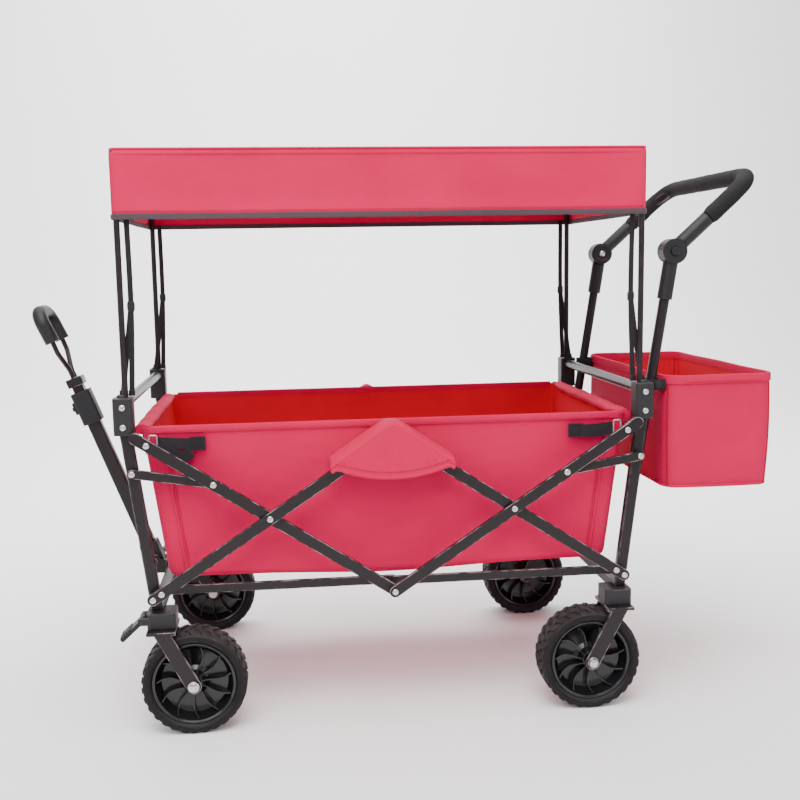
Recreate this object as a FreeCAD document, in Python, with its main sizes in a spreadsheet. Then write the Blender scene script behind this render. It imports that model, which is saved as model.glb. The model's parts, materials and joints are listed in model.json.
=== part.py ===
import FreeCAD, Part
import math
import os
import re

import Sketcher
from FreeCAD import Placement, Rotation, Vector

# Folding wagon. Millimetres, +Z up, origin on the ground under the middle of the wagon.
# +X is the rear (push bar), -X the front (pull handle), -Y the left side, +Y the right side.
# The frame folds along X: on each side two long arms meet at the top centre and two cross
# arms meet at the bottom centre, and each pair of arms crosses at its own pivot.

DIMS = {
    "origin_shift": -31.0,   # from the middle of the frame to the middle of the whole wagon
    # scissor frame
    "arm_outer": 236.4,      # lower pivot to crossing pivot, and crossing pivot to arm top
    "arm_inner": 248.4,      # crossing pivot to the centre joints
    "arm_angle": 33.26,      # rise of the arms when the wagon is open, in degrees
    "arm_width": 19.0,
    "arm_tail": 22.0,        # cross arms past their top rivet
    "arm_gauge": 7.0,
    "arm_gap": 1.0,          # air between neighbouring layers of bars
    "pivot_rise": 58.0,      # lower pivots above the fork crown
    "stud_reach": 17.5,      # lower pivot to the second rivet in the foot of a long arm
    "link_reach": 109.7,     # crossing pivot to the link pivot on the cross arm
    "link_height": 211.4,    # lower pivot to the link pivot on the post
    "link_width": 15.0,
    "pin_radius": 3.5,
    "pin_clearance": 0.05,
    "head_radius": 5.8,
    "head_height": 3.0,
    "bush_radius": 8.0,
    # posts and cross tubes
    "side_plane": 245.0,     # middle of the posts, from the middle of the wagon
    "post_width": 20.0,
    "post_depth": 14.0,
    "post_wall": 1.6,
    "post_lean": 7.1,
    "foot_rise": 16.0,
    "post_rise": 286.0,
    "rail_width": 15.0,
    "rail_gauge": 6.0,
    "rail_inset": -15.5,
    "cross_radius": 9.0,
    "cross_wall": 1.5,
    "lower_cross_rise": 32.0,
    "lower_cross_size": 18.0,
    "upper_cross_rise": 325.0,
    "seat_clearance": 0.1,
    # corner brackets
    "bracket_length": 32.0,
    "bracket_width": 34.0,
    "bracket_rise": 276.0,
    "bracket_top_rise": 337.0,
    "bracket_offset": 36.61,
    "bracket_inset": -2.0,
    "socket_depth": 42.0,
    # wheels
    "tyre_radius": 89.0,
    "tyre_width": 62.0,
    "rim_radius": 71.0,
    "hub_width": 52.0,
    "hub_web": 8.0,
    "fin_gauge": 3.0,
    "axle_radius": 6.0,
    "wheel_inset": 5.0,
    "axle_offset": -61.39,
    "stem_offset": -11.39,
    "stem_radius": 6.0,
    "stem_reach": 8.0,       # how far a caster stem goes up into its housing
    "fork_gauge": 5.0,
    "fork_gap": 1.5,
    "fork_boss": 13.0,
    "crown_length": 48.0,
    "leg_width": 25.0,
    "crown_gauge": 5.0,
    "crown_clearance": 2.0,  # fork crown above the tyre
    "housing_height": 27.0,
    "housing_gap": 1.0,
    "pedal_length": 48.0,
    "pedal_width": 34.0,
    "pedal_gauge": 7.0,
    # pull handle
    "handle_lean": 20.6,
    "handle_offset": 27.61,
    "handle_rise": 52.0,
    "handle_width": 25.0,
    "handle_depth": 20.0,
    "handle_wall": 2.0,
    "handle_tube": 300.0,
    "pivot_block_seat": 12.0, # pivot to the end of the outer tube inside its pivot block
    "clamp_length": 62.0,
    "clamp_width": 36.0,
    "yoke_spread": 42.0,
    "yoke_rise": 88.0,
    "yoke_radius": 4.5,
    "grip_radius": 13.0,
    "grip_rise": 46.0,
    # push bar
    "push_inset": -37.0,
    "push_foot_offset": 1.61,
    "push_lean": 8.9,
    "push_radius": 9.0,
    "push_wall": 1.5,
    "push_pivot_offset": 99.61,
    "push_pivot_rise": 562.0,
    "push_rise": 42.0,
    "push_reach": 197.0,
    "push_bend": 72.0,
    "adjuster_radius": 22.0,
    "adjuster_width": 30.0,
    "sleeve_radius": 13.0,
    "sleeve_length": 74.0,
    "foam_radius": 15.5,
    "button_radius": 7.5,
    # canopy
    "canopy_offset": 42.61,
    "canopy_inset": 0.0,
    "canopy_rise": 628.0,
    "canopy_top_rise": 740.0,
    "canopy_cloth": 2.5,
    "pole_radius": 5.0,
    "pole_offset": 33.61,
    "pole_inset": -9.0,
    "webbing": 1.6,
    "strap_width": 16.0,
    # tub, mat and flaps
    "tub_top_offset": 18.61,
    "tub_bottom_offset": -21.39,
    "tub_inset": -11.0,
    "tub_rise": 20.0,
    "tub_top_rise": 286.0,
    "tub_cloth": 4.0,
    "mat_gauge": 12.0,
    "mat_gap": 10.0,
    "tie_length": 62.0,
    "tie_offset": -89.0,      # middle of a tie strap from the tub's top corner
    "tie_drop": 34.0,
    "ring_offset": -47.0,
    "ring_drop": 27.0,
    "flap_half_width": 106.0,
    "flap_drop": 92.0,
    # rear basket
    "basket_offset": 80.61,
    "basket_length": 205.0,
    "basket_inset": -12.0,
    "basket_rise": 142.0,
    "basket_top_rise": 346.0,
    "basket_cloth": 3.0,
}

# Places that follow from the driving dimensions: an offset is measured along X from the lower
# pivots, an inset across from the posts, and a rise upwards from the tyres or the lower pivots
PLACES = {
    "half_base": "(arm_outer + arm_inner) * cos(arm_angle)",
    "bracket_place": "half_base + bracket_offset",
    "pole_place": "half_base + pole_offset",
    "axle_place": "half_base + axle_offset",
    "stem_place": "half_base + stem_offset",
    "handle_pivot_x": "half_base + handle_offset",
    "push_pivot_x": "half_base + push_pivot_offset",
    "push_foot_x": "half_base + push_foot_offset",
    "canopy_half_length": "half_base + canopy_offset",
    "tub_top_half": "half_base + tub_top_offset",
    "tub_bottom_half": "half_base + tub_bottom_offset",
    "basket_front": "half_base + basket_offset",
    "bracket_plane": "side_plane + bracket_inset",
    "wheel_plane": "side_plane + wheel_inset",
    "push_plane": "side_plane + push_inset",
    "canopy_half_width": "side_plane + canopy_inset",
    "pole_plane": "side_plane + pole_inset",
    "tub_half_width": "side_plane + tub_inset",
    "rail_plane": "side_plane + rail_inset",
    "basket_half_width": "side_plane + basket_inset",
    "crown_height": "2 * tyre_radius + crown_clearance",
    "foot_height": "crown_height + foot_rise",
    "lower_cross_height": "crown_height + lower_cross_rise",
    "pivot_height": "crown_height + pivot_rise",
    "handle_pivot_z": "crown_height + handle_rise",
    "post_top": "pivot_height + post_rise",
    "upper_cross_height": "pivot_height + upper_cross_rise",
    "bracket_bottom": "pivot_height + bracket_rise",
    "bracket_top": "pivot_height + bracket_top_rise",
    "push_pivot_z": "pivot_height + push_pivot_rise",
    "canopy_bottom": "pivot_height + canopy_rise",
    "canopy_top": "pivot_height + canopy_top_rise",
    "tub_bottom": "pivot_height + tub_rise",
    "tub_top": "pivot_height + tub_top_rise",
    "basket_bottom": "pivot_height + basket_rise",
    "basket_top": "pivot_height + basket_top_rise",
}

doc = FreeCAD.newDocument("FoldingWagon")
sheet = doc.addObject("Spreadsheet::Sheet", "Dims")
for row, alias in enumerate([*DIMS, *PLACES], start=1):
    sheet.setAlias(f"A{row}", alias)
    sheet.set(f"A{row}", str(DIMS[alias]) if alias in DIMS else f"={PLACES[alias]}")
doc.recompute()
probe = doc.addObject("Part::Vertex", "Probe")

# Lengths that follow from the driving dimensions, as expressions
HALF_BASE = "half_base"
CENTRE_TOP = "(pivot_height + (arm_outer + arm_inner) * sin(arm_angle))"
CENTRE_LOW = "(pivot_height + (arm_outer - arm_inner) * sin(arm_angle))"
CROSS_X = "(arm_inner * cos(arm_angle))"
CROSS_Z = "(pivot_height + arm_outer * sin(arm_angle))"
POST_FACE = "(side_plane + post_depth / 2)"
LAYER_STEP = "(arm_gauge + arm_gap)"
AXLE_Z = "tyre_radius"
HOUSING_BOTTOM = "(crown_height + crown_gauge + housing_gap)"
SIDES = {"left": -1, "right": 1}
ENDS = {"front": -1, "rear": 1}
PEDAL_X = "-(stem_place + crown_length / 2 + pedal_gauge + 1)"
PEDAL_Z = f"({HOUSING_BOTTOM} + housing_height / 2)"
PEDAL_DROOP = -42
FIN_COUNT = 12
RIB_COUNT = 4
TALL = 1000.0
nodes = {}


def layer(number):
    """Distance from the middle of the wagon to the middle of a layer of bars."""
    return f"({POST_FACE} + arm_gap + arm_gauge / 2 + {number - 1} * {LAYER_STEP})"


def name_in_sheet(found):
    """A word of an expression, pointing at its cell if it is a dimension's name."""
    word = found[0]
    return f"Dims.{word}" if word in DIMS or word in PLACES else word


def expression(text):
    """The text with each dimension's name pointing at its cell."""
    return re.sub(r"[a-z][a-z_]+[a-z]", name_in_sheet, str(text))


def dim(name):
    """A driving dimension as a number."""
    return float(sheet.get(name))


def bind(item, **sizes):
    """Tie an object's sizes to expressions of the sheet."""
    for name, text in sizes.items():
        item.setExpression(name, expression(text))
    return item


def place(item, x=0, y=0, z=0, axis=None, angle=None):
    """Tie an object's place, and its turn about an axis in degrees, to expressions of the sheet."""
    if axis is not None:
        item.Placement = Placement(Vector(), Rotation(axis, 1))
        item.setExpression(".Placement.Rotation.Angle", expression(f"({angle}) * 1 deg"))
    for letter, text in zip("xyz", (x, y, z)):
        item.setExpression(f".Placement.Base.{letter}", expression(text))
    return item


def box(size, centre=(0, 0, 0)):
    """A box about its centre."""
    item = doc.addObject("Part::Box", "Block")
    bind(item, Length=size[0], Width=size[1], Height=size[2])
    return place(item, *(f"({c}) - ({s}) / 2" for c, s in zip(centre, size)))


def rod_y(radius, low, high, x=0, z=0):
    """A cylinder along Y, from low to high."""
    item = doc.addObject("Part::Cylinder", "Rod")
    bind(item, Radius=radius, Height=f"({high}) - ({low})")
    return place(item, x, low, z, Vector(1, 0, 0), -90)


def rod_z(radius, low, high, x=0, y=0):
    """A cylinder along Z, from low to high."""
    item = doc.addObject("Part::Cylinder", "Rod")
    bind(item, Radius=radius, Height=f"({high}) - ({low})")
    return place(item, x, y, low)


def side_rod(side, radius, inner, outer, x=0, z=0):
    """A cylinder along Y on one side of the wagon, between two distances from the middle."""
    low, high = (f"-({outer})", f"-({inner})") if side < 0 else (inner, outer)
    return rod_y(radius, low, high, x, z)


def fuse(*items):
    """One solid from several that share volume."""
    item = doc.addObject("Part::MultiFuse", "Joined")
    item.Shapes = list(items)
    item.Refine = True
    return item


def cut(base, *tools):
    """A solid with others taken out of it."""
    item = doc.addObject("Part::Cut", "Cut")
    item.Base = base
    item.Tool = tools[0] if len(tools) == 1 else fuse(*tools)
    return item


def group(*items):
    """Separate solids kept in one node."""
    item = doc.addObject("Part::Compound", "Group")
    item.Links = list(items)
    return item


def node(label, item):
    """Name a finished sub-part and move it from the frame's middle to the wagon's middle."""
    placed = dict(item.ExpressionEngine).get(".Placement.Base.x", "0")
    item.setExpression(".Placement.Base.x", f"({placed}) + Dims.origin_shift")
    item.Label = label
    nodes[label] = item
    return item


def rounded(item, radius, along=None):
    """Fillet an object's straight edges, all of them or only those along one axis."""
    doc.recompute()
    edges = []
    for number, edge in enumerate(item.Shape.Edges, start=1):
        if edge.Curve.TypeId != "Part::GeomLine":
            continue
        if along is None or abs(edge.tangentAt(edge.FirstParameter).dot(along)) > 0.99:
            edges.append((number, radius, radius))
    fillet = doc.addObject("Part::Fillet", "Rounded")
    fillet.Base = item
    fillet.Edges = edges
    return fillet


def solid_piece(shape):
    """A shape made from the sheet's values, as a document object."""
    item = doc.addObject("Part::Feature", "Shaped")
    item.Shape = shape
    item.Placement = Placement()
    return item


def slot_bar(length, width, gauge, holes=()):
    """A flat bar with round ends along local X, middle plane at y = 0, drilled at the given places."""
    half = f"({gauge}) / 2"
    bar = fuse(
        box((length, gauge, width), (f"({length}) / 2", 0, 0)),
        rod_y(f"({width}) / 2", f"-{half}", half),
        rod_y(f"({width}) / 2", f"-{half}", half, x=length),
    )
    if not holes:
        return bar
    drills = [rod_y("pin_radius + pin_clearance", f"-{gauge}", gauge, x=at) for at in holes]
    return cut(bar, *drills)


def square_tube(width, depth, length, wall):
    """A rectangular tube standing on the local origin."""
    outer = box((width, depth, length), (0, 0, f"({length}) / 2"))
    outer = rounded(outer, 3.0, Vector(0, 0, 1))
    bore = box((f"{width} - 2 * {wall}", f"{depth} - 2 * {wall}", f"({length}) + 2"),
               (0, 0, f"({length}) / 2"))
    return cut(outer, bore)


def wire_through(points, bend):
    """Straight runs joined by tangent arcs of one radius."""
    edges, start = [], points[0]
    for before, corner, after in zip(points, points[1:], points[2:]):
        back = (before - corner).normalize()
        ahead = (after - corner).normalize()
        half = back.getAngle(ahead) / 2
        reach = bend / math.tan(half)
        first, last = corner + back * reach, corner + ahead * reach
        middle_way = (back + ahead).normalize()
        middle = corner + middle_way * (bend / math.sin(half) - bend)
        edges.append(Part.LineSegment(start, first).toShape())
        edges.append(Part.Arc(first, middle, last).toShape())
        start = last
    edges.append(Part.LineSegment(start, points[-1]).toShape())
    return Part.Wire(edges)


def pipe(points, radius, bend):
    """A round bar along runs and arcs."""
    path = wire_through(points, bend)
    ring = Part.Wire(Part.Circle(points[0], points[1] - points[0], radius).toShape())
    return path.makePipeShell([ring], True, False)


def rivet(side, inner, outer, x, z, heads=("outer",)):
    """A rivet across the bars of one side, with a head at one end or both."""
    pieces = [side_rod(side, "pin_radius", inner, outer, x, z)]
    if "outer" in heads:
        pieces.append(side_rod(side, "head_radius", outer, f"{outer} + head_height", x, z))
    if "inner" in heads:
        pieces.append(side_rod(side, "head_radius", f"{inner} - head_height", inner, x, z))
    return fuse(*pieces)


def face_of(number, outward):
    """The inner or outer face of a layer of bars, with half the gap beyond it."""
    return f"({layer(number)} + {outward} * (arm_gauge / 2 + arm_gap / 2))"


def posts(end_name, end):
    """The leaning tubes at the corners, drilled for the arm pivot and the link pivot."""
    length = "(post_top - foot_height) / cos(post_lean)"
    pivots = ["(pivot_height - foot_height) / cos(post_lean)",
              "(pivot_height + link_height - foot_height) / cos(post_lean)"]
    foot_x = f"{end} * ({HALF_BASE} - (pivot_height - foot_height) * tan(post_lean))"
    made = []
    for side in SIDES.values():
        tube = square_tube("post_width", "post_depth", length, "post_wall")
        drills = []
        for height in pivots:
            drill = rod_y("pin_radius + pin_clearance", "-post_depth", "post_depth", z=height)
            drills.append(drill)
        post = cut(tube, *drills)
        made.append(place(post, foot_x, f"{side} * side_plane", "foot_height",
                          Vector(0, 1, 0), f"{end} * post_lean"))
    node(f"{end_name}_posts", group(*made))


def post_x(end, height):
    """Where the middle of a post is at a height."""
    return f"({end} * ({HALF_BASE} + (({height}) - pivot_height) * tan(post_lean)))"


def cross_tubes(end_name, end):
    """The round tube between the corner brackets and the square tube between the post feet."""
    reach = "(pole_plane - pole_radius - 1.5)"
    x = f"{end} * bracket_place"
    tube = cut(rod_y("cross_radius", f"-{reach}", reach, x, "upper_cross_height"),
               rod_y("cross_radius - cross_wall", "-side_plane", "side_plane", x, "upper_cross_height"))
    span = "2 * side_plane - post_depth"
    where = (post_x(end, "lower_cross_height"), 0, "lower_cross_height")
    outer = box(("lower_cross_size", span, "lower_cross_size"), where)
    core = "lower_cross_size - 2 * post_wall"
    inner = box((core, f"({span}) + 2", core), where)
    node(f"{end_name}_cross_tubes", group(tube, cut(outer, inner)))


def corner_brackets(end_name, end):
    """Moulded corners that take the post from below, the cross tube and the canopy pole."""
    made = []
    height = "(bracket_top - bracket_bottom)"
    for side in SIDES.values():
        centre = (f"{end} * bracket_place", f"{side} * bracket_plane", f"bracket_bottom + {height} / 2")
        body = rounded(box(("bracket_length", "bracket_width", height), centre), 5.0, Vector(0, 0, 1))
        pole = rod_z("pole_radius + seat_clearance", "bracket_top - socket_depth", "bracket_top + 1",
                     f"{end} * pole_place", f"{side} * pole_plane")
        tube = side_rod(side, "cross_radius + seat_clearance", "0", "pole_plane - pole_radius - 1.4",
                        f"{end} * bracket_place", "upper_cross_height")
        post = box(("post_width + 2 * seat_clearance", "post_depth + 2 * seat_clearance", "40"),
                   (0, 0, -19.9))
        post = place(fuse(post, box(("1", "1", "1"), (0, 0, -20))),
                     post_x(end, "post_top"), f"{side} * side_plane", "post_top",
                     Vector(0, 1, 0), f"{end} * post_lean")
        made.append(cut(body, pole, tube, post))
    node(f"{end_name}_corner_brackets", group(*made))


def arms():
    """Long arms and cross arms of both sides, each pair of a kind in one node."""
    full = "(arm_outer + arm_inner)"
    tailed = "(arm_outer + arm_inner + arm_tail)"
    at_long, at_cross = (0, "stud_reach", "arm_outer", full), (0, "arm_inner", full)
    plans = {
        "front_long_arms": (3, full, f"-{HALF_BASE}", "pivot_height", "-arm_angle", at_long),
        "rear_long_arms": (2, full, HALF_BASE, "pivot_height", "180 + arm_angle", at_long),
        "front_cross_arms": (2, tailed, 0, CENTRE_LOW, "180 + arm_angle", at_cross),
        "rear_cross_arms": (3, tailed, 0, CENTRE_LOW, "-arm_angle", at_cross),
    }
    for label, (level, length, x, z, angle, holes) in plans.items():
        made = []
        for side in SIDES.values():
            bar = slot_bar(length, "arm_width", "arm_gauge", holes)
            made.append(place(bar, x, f"{side} * {layer(level)}", z, Vector(0, 1, 0), angle))
        node(label, group(*made))


def arm_pivots():
    """Rivets through the crossings and the centre joints."""
    tip_z = "(pivot_height + 2 * arm_outer * sin(arm_angle))"
    link_x = "((arm_inner + link_reach) * cos(arm_angle))"
    link_z = f"({CROSS_Z} + link_reach * sin(arm_angle))"
    stud_x = f"({HALF_BASE} - stud_reach * cos(arm_angle))"
    stud_z = "(pivot_height + stud_reach * sin(arm_angle))"
    through = (face_of(2, -1), face_of(3, 1))
    groups = {"front_arm_pivots": [], "rear_arm_pivots": [],
              "front_cross_rivets": [], "rear_cross_rivets": []}
    for side in SIDES.values():
        groups["rear_arm_pivots"].append(rivet(side, *through, 0, CENTRE_TOP))
        groups["rear_cross_rivets"].append(rivet(side, *through, 0, CENTRE_LOW, ("outer", "inner")))
        for end_name, end in ENDS.items():
            cross_level, long_level = (2, 3) if end < 0 else (3, 2)
            pivots, rivets = groups[f"{end_name}_arm_pivots"], groups[f"{end_name}_cross_rivets"]
            pivots.append(rivet(side, *through, f"{end} * {CROSS_X}", CROSS_Z))
            stud = rivet(side, face_of(long_level, -1), face_of(long_level, 1),
                         f"{end} * {stud_x}", stud_z)
            pivots.append(stud)
            outer = face_of(cross_level, 1)
            rivets.append(side_rod(side, "head_radius", outer, f"{outer} + head_height",
                                   f"{end} * {link_x}", link_z))
            rivets.append(rivet(side, face_of(cross_level, -1), outer, f"{end} * {HALF_BASE}", tip_z))
    for label, pieces in groups.items():
        node(label, group(*pieces))


def links(end_name, end):
    """Short links from the posts to the cross arms."""
    level = 1 if end < 0 else 2
    start_x = post_x(end, "pivot_height + link_height")
    start_z = "(pivot_height + link_height)"
    dx = f"({HALF_BASE} + link_height * tan(post_lean) - (arm_inner + link_reach) * cos(arm_angle))"
    dz = f"({start_z} - {CROSS_Z} - link_reach * sin(arm_angle))"
    length = f"hypot({dx}; {dz})"
    drop = f"(atan2({dz}; {dx}) / 1 deg)"
    angle = drop if end < 0 else f"180 - {drop}"
    made = []
    for side in SIDES.values():
        bar = slot_bar(length, "link_width", "arm_gauge", (0,))
        made.append(place(bar, start_x, f"{side} * {layer(level)}", start_z, Vector(0, 1, 0), angle))
    node(f"{end_name}_links", group(*made))


def rails(end_name, end):
    """Half rails under the tub, lapped side by side at the middle."""
    plane = "rail_plane" if end > 0 else "(rail_plane - rail_gauge - arm_gap)"
    angle = 0 if end < 0 else 180
    made = []
    for side in SIDES.values():
        bar = slot_bar(HALF_BASE, "rail_width", "rail_gauge", (0,))
        made.append(place(bar, f"{end} * {HALF_BASE}", f"{side} * {plane}", "pivot_height",
                          Vector(0, 1, 0), angle))
    if end < 0:
        for side in SIDES.values():
            made.append(side_rod(side, "head_radius", f"{plane} - rail_gauge / 2 - head_height",
                                 f"{plane} - rail_gauge / 2", 0, "pivot_height"))
    node(f"{end_name}_rails", group(*made))


def frame_rivets(end_name, end):
    """Rivets in the posts: the arm and rail pivots below, the link pivots above."""
    arm_level, link_level = (3, 1) if end < 0 else (2, 2)
    inner = "(rail_plane - 1.5 * rail_gauge - 1.5 * arm_gap)"
    foot = (f"{end} * {HALF_BASE}", "pivot_height")
    link_pin = (post_x(end, "pivot_height + link_height"), "(pivot_height + link_height)")
    made = []
    for side in SIDES.values():
        made.append(rivet(side, inner, face_of(arm_level, 1), *foot, ("outer", "inner")))
        bush = side_rod(side, "bush_radius", f"{POST_FACE} + seat_clearance",
                        face_of(arm_level, -1), *foot)
        made.append(cut(bush, side_rod(side, "pin_radius", "side_plane", "side_plane + 60", *foot)))
        made.append(rivet(side, "(side_plane - post_depth / 2)", face_of(link_level, 1), *link_pin))
    node(f"{end_name}_frame_rivets", group(*made))


def wheel_parts(end_name, side_name, end, side):
    """A tyre and the hub that it is moulded on."""
    at = (f"{end} * axle_place", f"{side} * wheel_plane", AXLE_Z)
    tyre = revolved(f"{end_name}_{side_name}_tyre", tyre_profile())
    node(tyre.Label, place(tyre, *at))
    hub = revolved(f"{end_name}_{side_name}_hub", hub_profile())
    add_fins(hub)
    node(hub.Label, place(hub, *at))


def tyre_profile():
    """Outline of the tyre's section as (radius, width) pairs of expressions."""
    return [("rim_radius", "-0.42 * tyre_width"), ("tyre_radius - 9", "-tyre_width / 2"),
            ("tyre_radius - 3", "-0.44 * tyre_width"), ("tyre_radius", "-0.3 * tyre_width"),
            ("tyre_radius", "0.3 * tyre_width"), ("tyre_radius - 3", "0.44 * tyre_width"),
            ("tyre_radius - 9", "tyre_width / 2"), ("rim_radius", "0.42 * tyre_width")]


def hub_profile():
    """Outline of the dished hub's section."""
    bore, rim = "axle_radius + pin_clearance", "rim_radius"
    return [(bore, "-hub_width / 2"), ("axle_radius + 10", "-hub_width / 2"),
            ("axle_radius + 13", "-hub_web / 2"), ("rim_radius - 7", "-hub_web / 2"),
            ("rim_radius - 4", "-hub_width / 2"), (rim, "-hub_width / 2"), (rim, "hub_width / 2"),
            ("rim_radius - 4", "hub_width / 2"), ("rim_radius - 7", "hub_web / 2"),
            ("axle_radius + 13", "hub_web / 2"), ("axle_radius + 10", "hub_width / 2"),
            (bore, "hub_width / 2")]


def origin_plane(body, role):
    """One of a body's own origin planes."""
    return next(f for f in body.Origin.OriginFeatures if f.Role == role)


def tied_polygon(sketch, outline):
    """A closed outline whose corners are tied to expressions of the sheet."""
    rough = [(number(a), number(b)) for a, b in outline]
    for (ax, ay), (bx, by) in zip(rough, rough[1:] + rough[:1]):
        sketch.addGeometry(Part.LineSegment(Vector(ax, ay, 0), Vector(bx, by, 0)))
    count = len(rough)
    for side in range(count):
        sketch.addConstraint(Sketcher.Constraint("Coincident", side, 2, (side + 1) % count, 1))
    for corner, (a, b) in enumerate(outline):
        flat, tall = rough[corner]
        for kind, text, rough_value in (("DistanceX", a, flat), ("DistanceY", b, tall)):
            made = sketch.addConstraint(Sketcher.Constraint(kind, -1, 1, corner, 1, rough_value))
            sketch.setExpression(f"Constraints[{made}]", expression(text))


def number(text):
    """The value of a simple expression, read through a cell object."""
    probe.setExpression("X", expression(text))
    doc.recompute([probe], True)
    return float(probe.X)


def revolved(label, outline):
    """A body turned about its own Y axis."""
    body = doc.addObject("PartDesign::Body", label)
    body.Label = label
    sketch = body.newObject("Sketcher::SketchObject", f"{label}_section")
    sketch.AttachmentSupport = [(origin_plane(body, "XY_Plane"), "")]
    sketch.MapMode = "FlatFace"
    tied_polygon(sketch, outline)
    turned = body.newObject("PartDesign::Revolution", f"{label}_turned")
    turned.Profile = sketch
    turned.ReferenceAxis = (sketch, ["V_Axis"])
    turned.Angle = 360.0
    body.Tip = turned
    doc.recompute()
    return body


def add_fins(body):
    """Radial fins on both faces of a hub's web."""
    sketch = body.newObject("Sketcher::SketchObject", f"{body.Name}_fin")
    sketch.AttachmentSupport = [(origin_plane(body, "XY_Plane"), "")]
    sketch.MapMode = "FlatFace"
    tied_polygon(sketch, [("axle_radius + 9", "-0.34 * hub_width"), ("rim_radius - 5", "-0.42 * hub_width"),
                          ("rim_radius - 5", "0.42 * hub_width"), ("axle_radius + 9", "0.34 * hub_width")])
    fin = body.newObject("PartDesign::Pad", f"{body.Name}_fin_pad")
    fin.Profile = sketch
    fin.setExpression("Length", expression("fin_gauge"))
    fin.Midplane = True
    doc.recompute()
    fins = body.newObject("PartDesign::PolarPattern", f"{body.Name}_fins")
    fins.Originals = [fin]
    fins.Axis = (sketch, ["V_Axis"])
    fins.Angle = 360.0
    fins.Occurrences = FIN_COUNT
    body.Tip = fins
    doc.recompute()


def fork(end, side, with_stem):
    """A crown plate and two legs that hold the axle, with a caster stem if it swivels."""
    half = "(tyre_width / 2 + fork_gap + fork_gauge / 2)"
    crown = box(("crown_length", "tyre_width + 2 * fork_gap + 2 * fork_gauge", "crown_gauge"),
                (f"{end} * stem_place", f"{side} * wheel_plane", "crown_height + crown_gauge / 2"))
    pieces = [crown]
    drills = []
    for face in (-1, 1):
        middle = f"({side} * wheel_plane + {face} * {half})"
        pieces.append(leg_plate(end, middle))
        drills.append(rod_y("axle_radius + pin_clearance", f"{middle} - fork_gauge", f"{middle} + fork_gauge",
                            f"{end} * axle_place", AXLE_Z))
    if with_stem:
        pieces.append(rod_z("stem_radius", "crown_height", f"{HOUSING_BOTTOM} + stem_reach",
                            f"{end} * stem_place", f"{side} * wheel_plane"))
        pieces.append(rod_z("stem_radius + 5", "crown_height + crown_gauge / 2", HOUSING_BOTTOM,
                            f"{end} * stem_place", f"{side} * wheel_plane"))
    return cut(fuse(*pieces), *drills)


def leg_plate(end, middle):
    """A tapering fork leg in the XZ plane, from the crown down to the axle."""
    top = "crown_height + crown_gauge"
    dz = f"({top} - {AXLE_Z})"
    dx = "(stem_place - axle_place)"
    length = f"hypot({dx}; {dz})"
    lean = f"(atan2({dx}; {dz}) / 1 deg)"
    strip = box(("leg_width", "fork_gauge", length), (0, 0, f"({length}) / 2"))
    boss = rod_y("fork_boss", "-fork_gauge / 2", "fork_gauge / 2")
    plate = place(fuse(strip, boss), f"{end} * axle_place", middle, AXLE_Z,
                  Vector(0, 1, 0), f"{end} * {lean}")
    limit = box(("4 * crown_length", "2 * fork_gauge", TALL),
                (f"{end} * stem_place", middle, f"{top} - {TALL} / 2"))
    common = doc.addObject("Part::Common", "Leg")
    common.Base = plate
    common.Tool = limit
    return common


def housing(end, side, with_stem):
    """The moulded foot that takes the post from above, and the caster stem from below."""
    centre = (f"{end} * stem_place", f"{side} * (wheel_plane - 1)", f"{HOUSING_BOTTOM} + housing_height / 2")
    body = rounded(box(("crown_length", "48", "housing_height"), centre), 6.0, Vector(0, 0, 1))
    post = fuse(box(("post_width + 2 * seat_clearance", "post_depth + 2 * seat_clearance", "60"), (0, 0, 30)),
                box(("1", "1", "1"), (0, 0, 10)))
    foot_x = post_x(end, "foot_height")
    post = place(post, foot_x, f"{side} * side_plane", "foot_height", Vector(0, 1, 0), f"{end} * post_lean")
    cross = box(("lower_cross_size + 2 * seat_clearance", "2 * side_plane - post_depth + 0.2",
                 "lower_cross_size + 2 * seat_clearance"),
                (post_x(end, "lower_cross_height"), 0, "lower_cross_height"))
    tools = [post, cross]
    if with_stem:
        tools.append(rod_z("stem_radius + pin_clearance", f"{HOUSING_BOTTOM} - 1",
                           f"{HOUSING_BOTTOM} + stem_reach + 1",
                           f"{end} * stem_place", f"{side} * wheel_plane"))
    return cut(body, *tools)


def axle_bolt(end, side):
    """The bolt through a fork and its wheel, with a round head outside and a nut inside."""
    half = "(tyre_width / 2 + fork_gap + fork_gauge)"
    inner, outer = f"(wheel_plane - {half})", f"(wheel_plane + {half})"
    x = f"{end} * axle_place"
    return fuse(side_rod(side, "axle_radius", inner, outer, x, AXLE_Z),
                side_rod(side, "axle_radius + 3", outer, f"{outer} + 4", x, AXLE_Z),
                side_rod(side, "axle_radius + 3", f"{inner} - 5", inner, x, AXLE_Z))


def running_gear():
    """Fixed front wheels with brakes and rear casters."""
    for end_name, end in ENDS.items():
        swivels = end > 0
        housings, fixed_forks = [], []
        for side_name, side in SIDES.items():
            wheel_parts(end_name, side_name, end, side)
            housings.append(housing(end, side, swivels))
            if swivels:
                node(f"rear_{side_name}_caster_fork", group(fork(end, side, True), axle_bolt(end, side)))
            else:
                fixed_forks.append(fork(end, side, False))
                housings += pedal_ears(side)
        node(f"{end_name}_foot_housings", group(*housings))
        if fixed_forks:
            node("front_wheel_forks", group(*fixed_forks))
    node("front_axle_bolts", group(*(axle_bolt(-1, side) for side in SIDES.values())))


def pedal_ears(side):
    """Two ears and the pin that carry a brake pedal on a front foot housing."""
    pieces = [rod_y("pin_radius", f"{side} * wheel_plane - pedal_width / 2 - 4.5",
                    f"{side} * wheel_plane + pedal_width / 2 + 4.5", PEDAL_X, PEDAL_Z)]
    for face in (-1, 1):
        plate = box(("pedal_gauge + 8", "4", "12"),
                    (f"{PEDAL_X} + 3.5", f"{side} * wheel_plane + {face} * (pedal_width / 2 + 2.5)", PEDAL_Z))
        pieces.append(plate)
    return [fuse(*pieces)]


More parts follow.
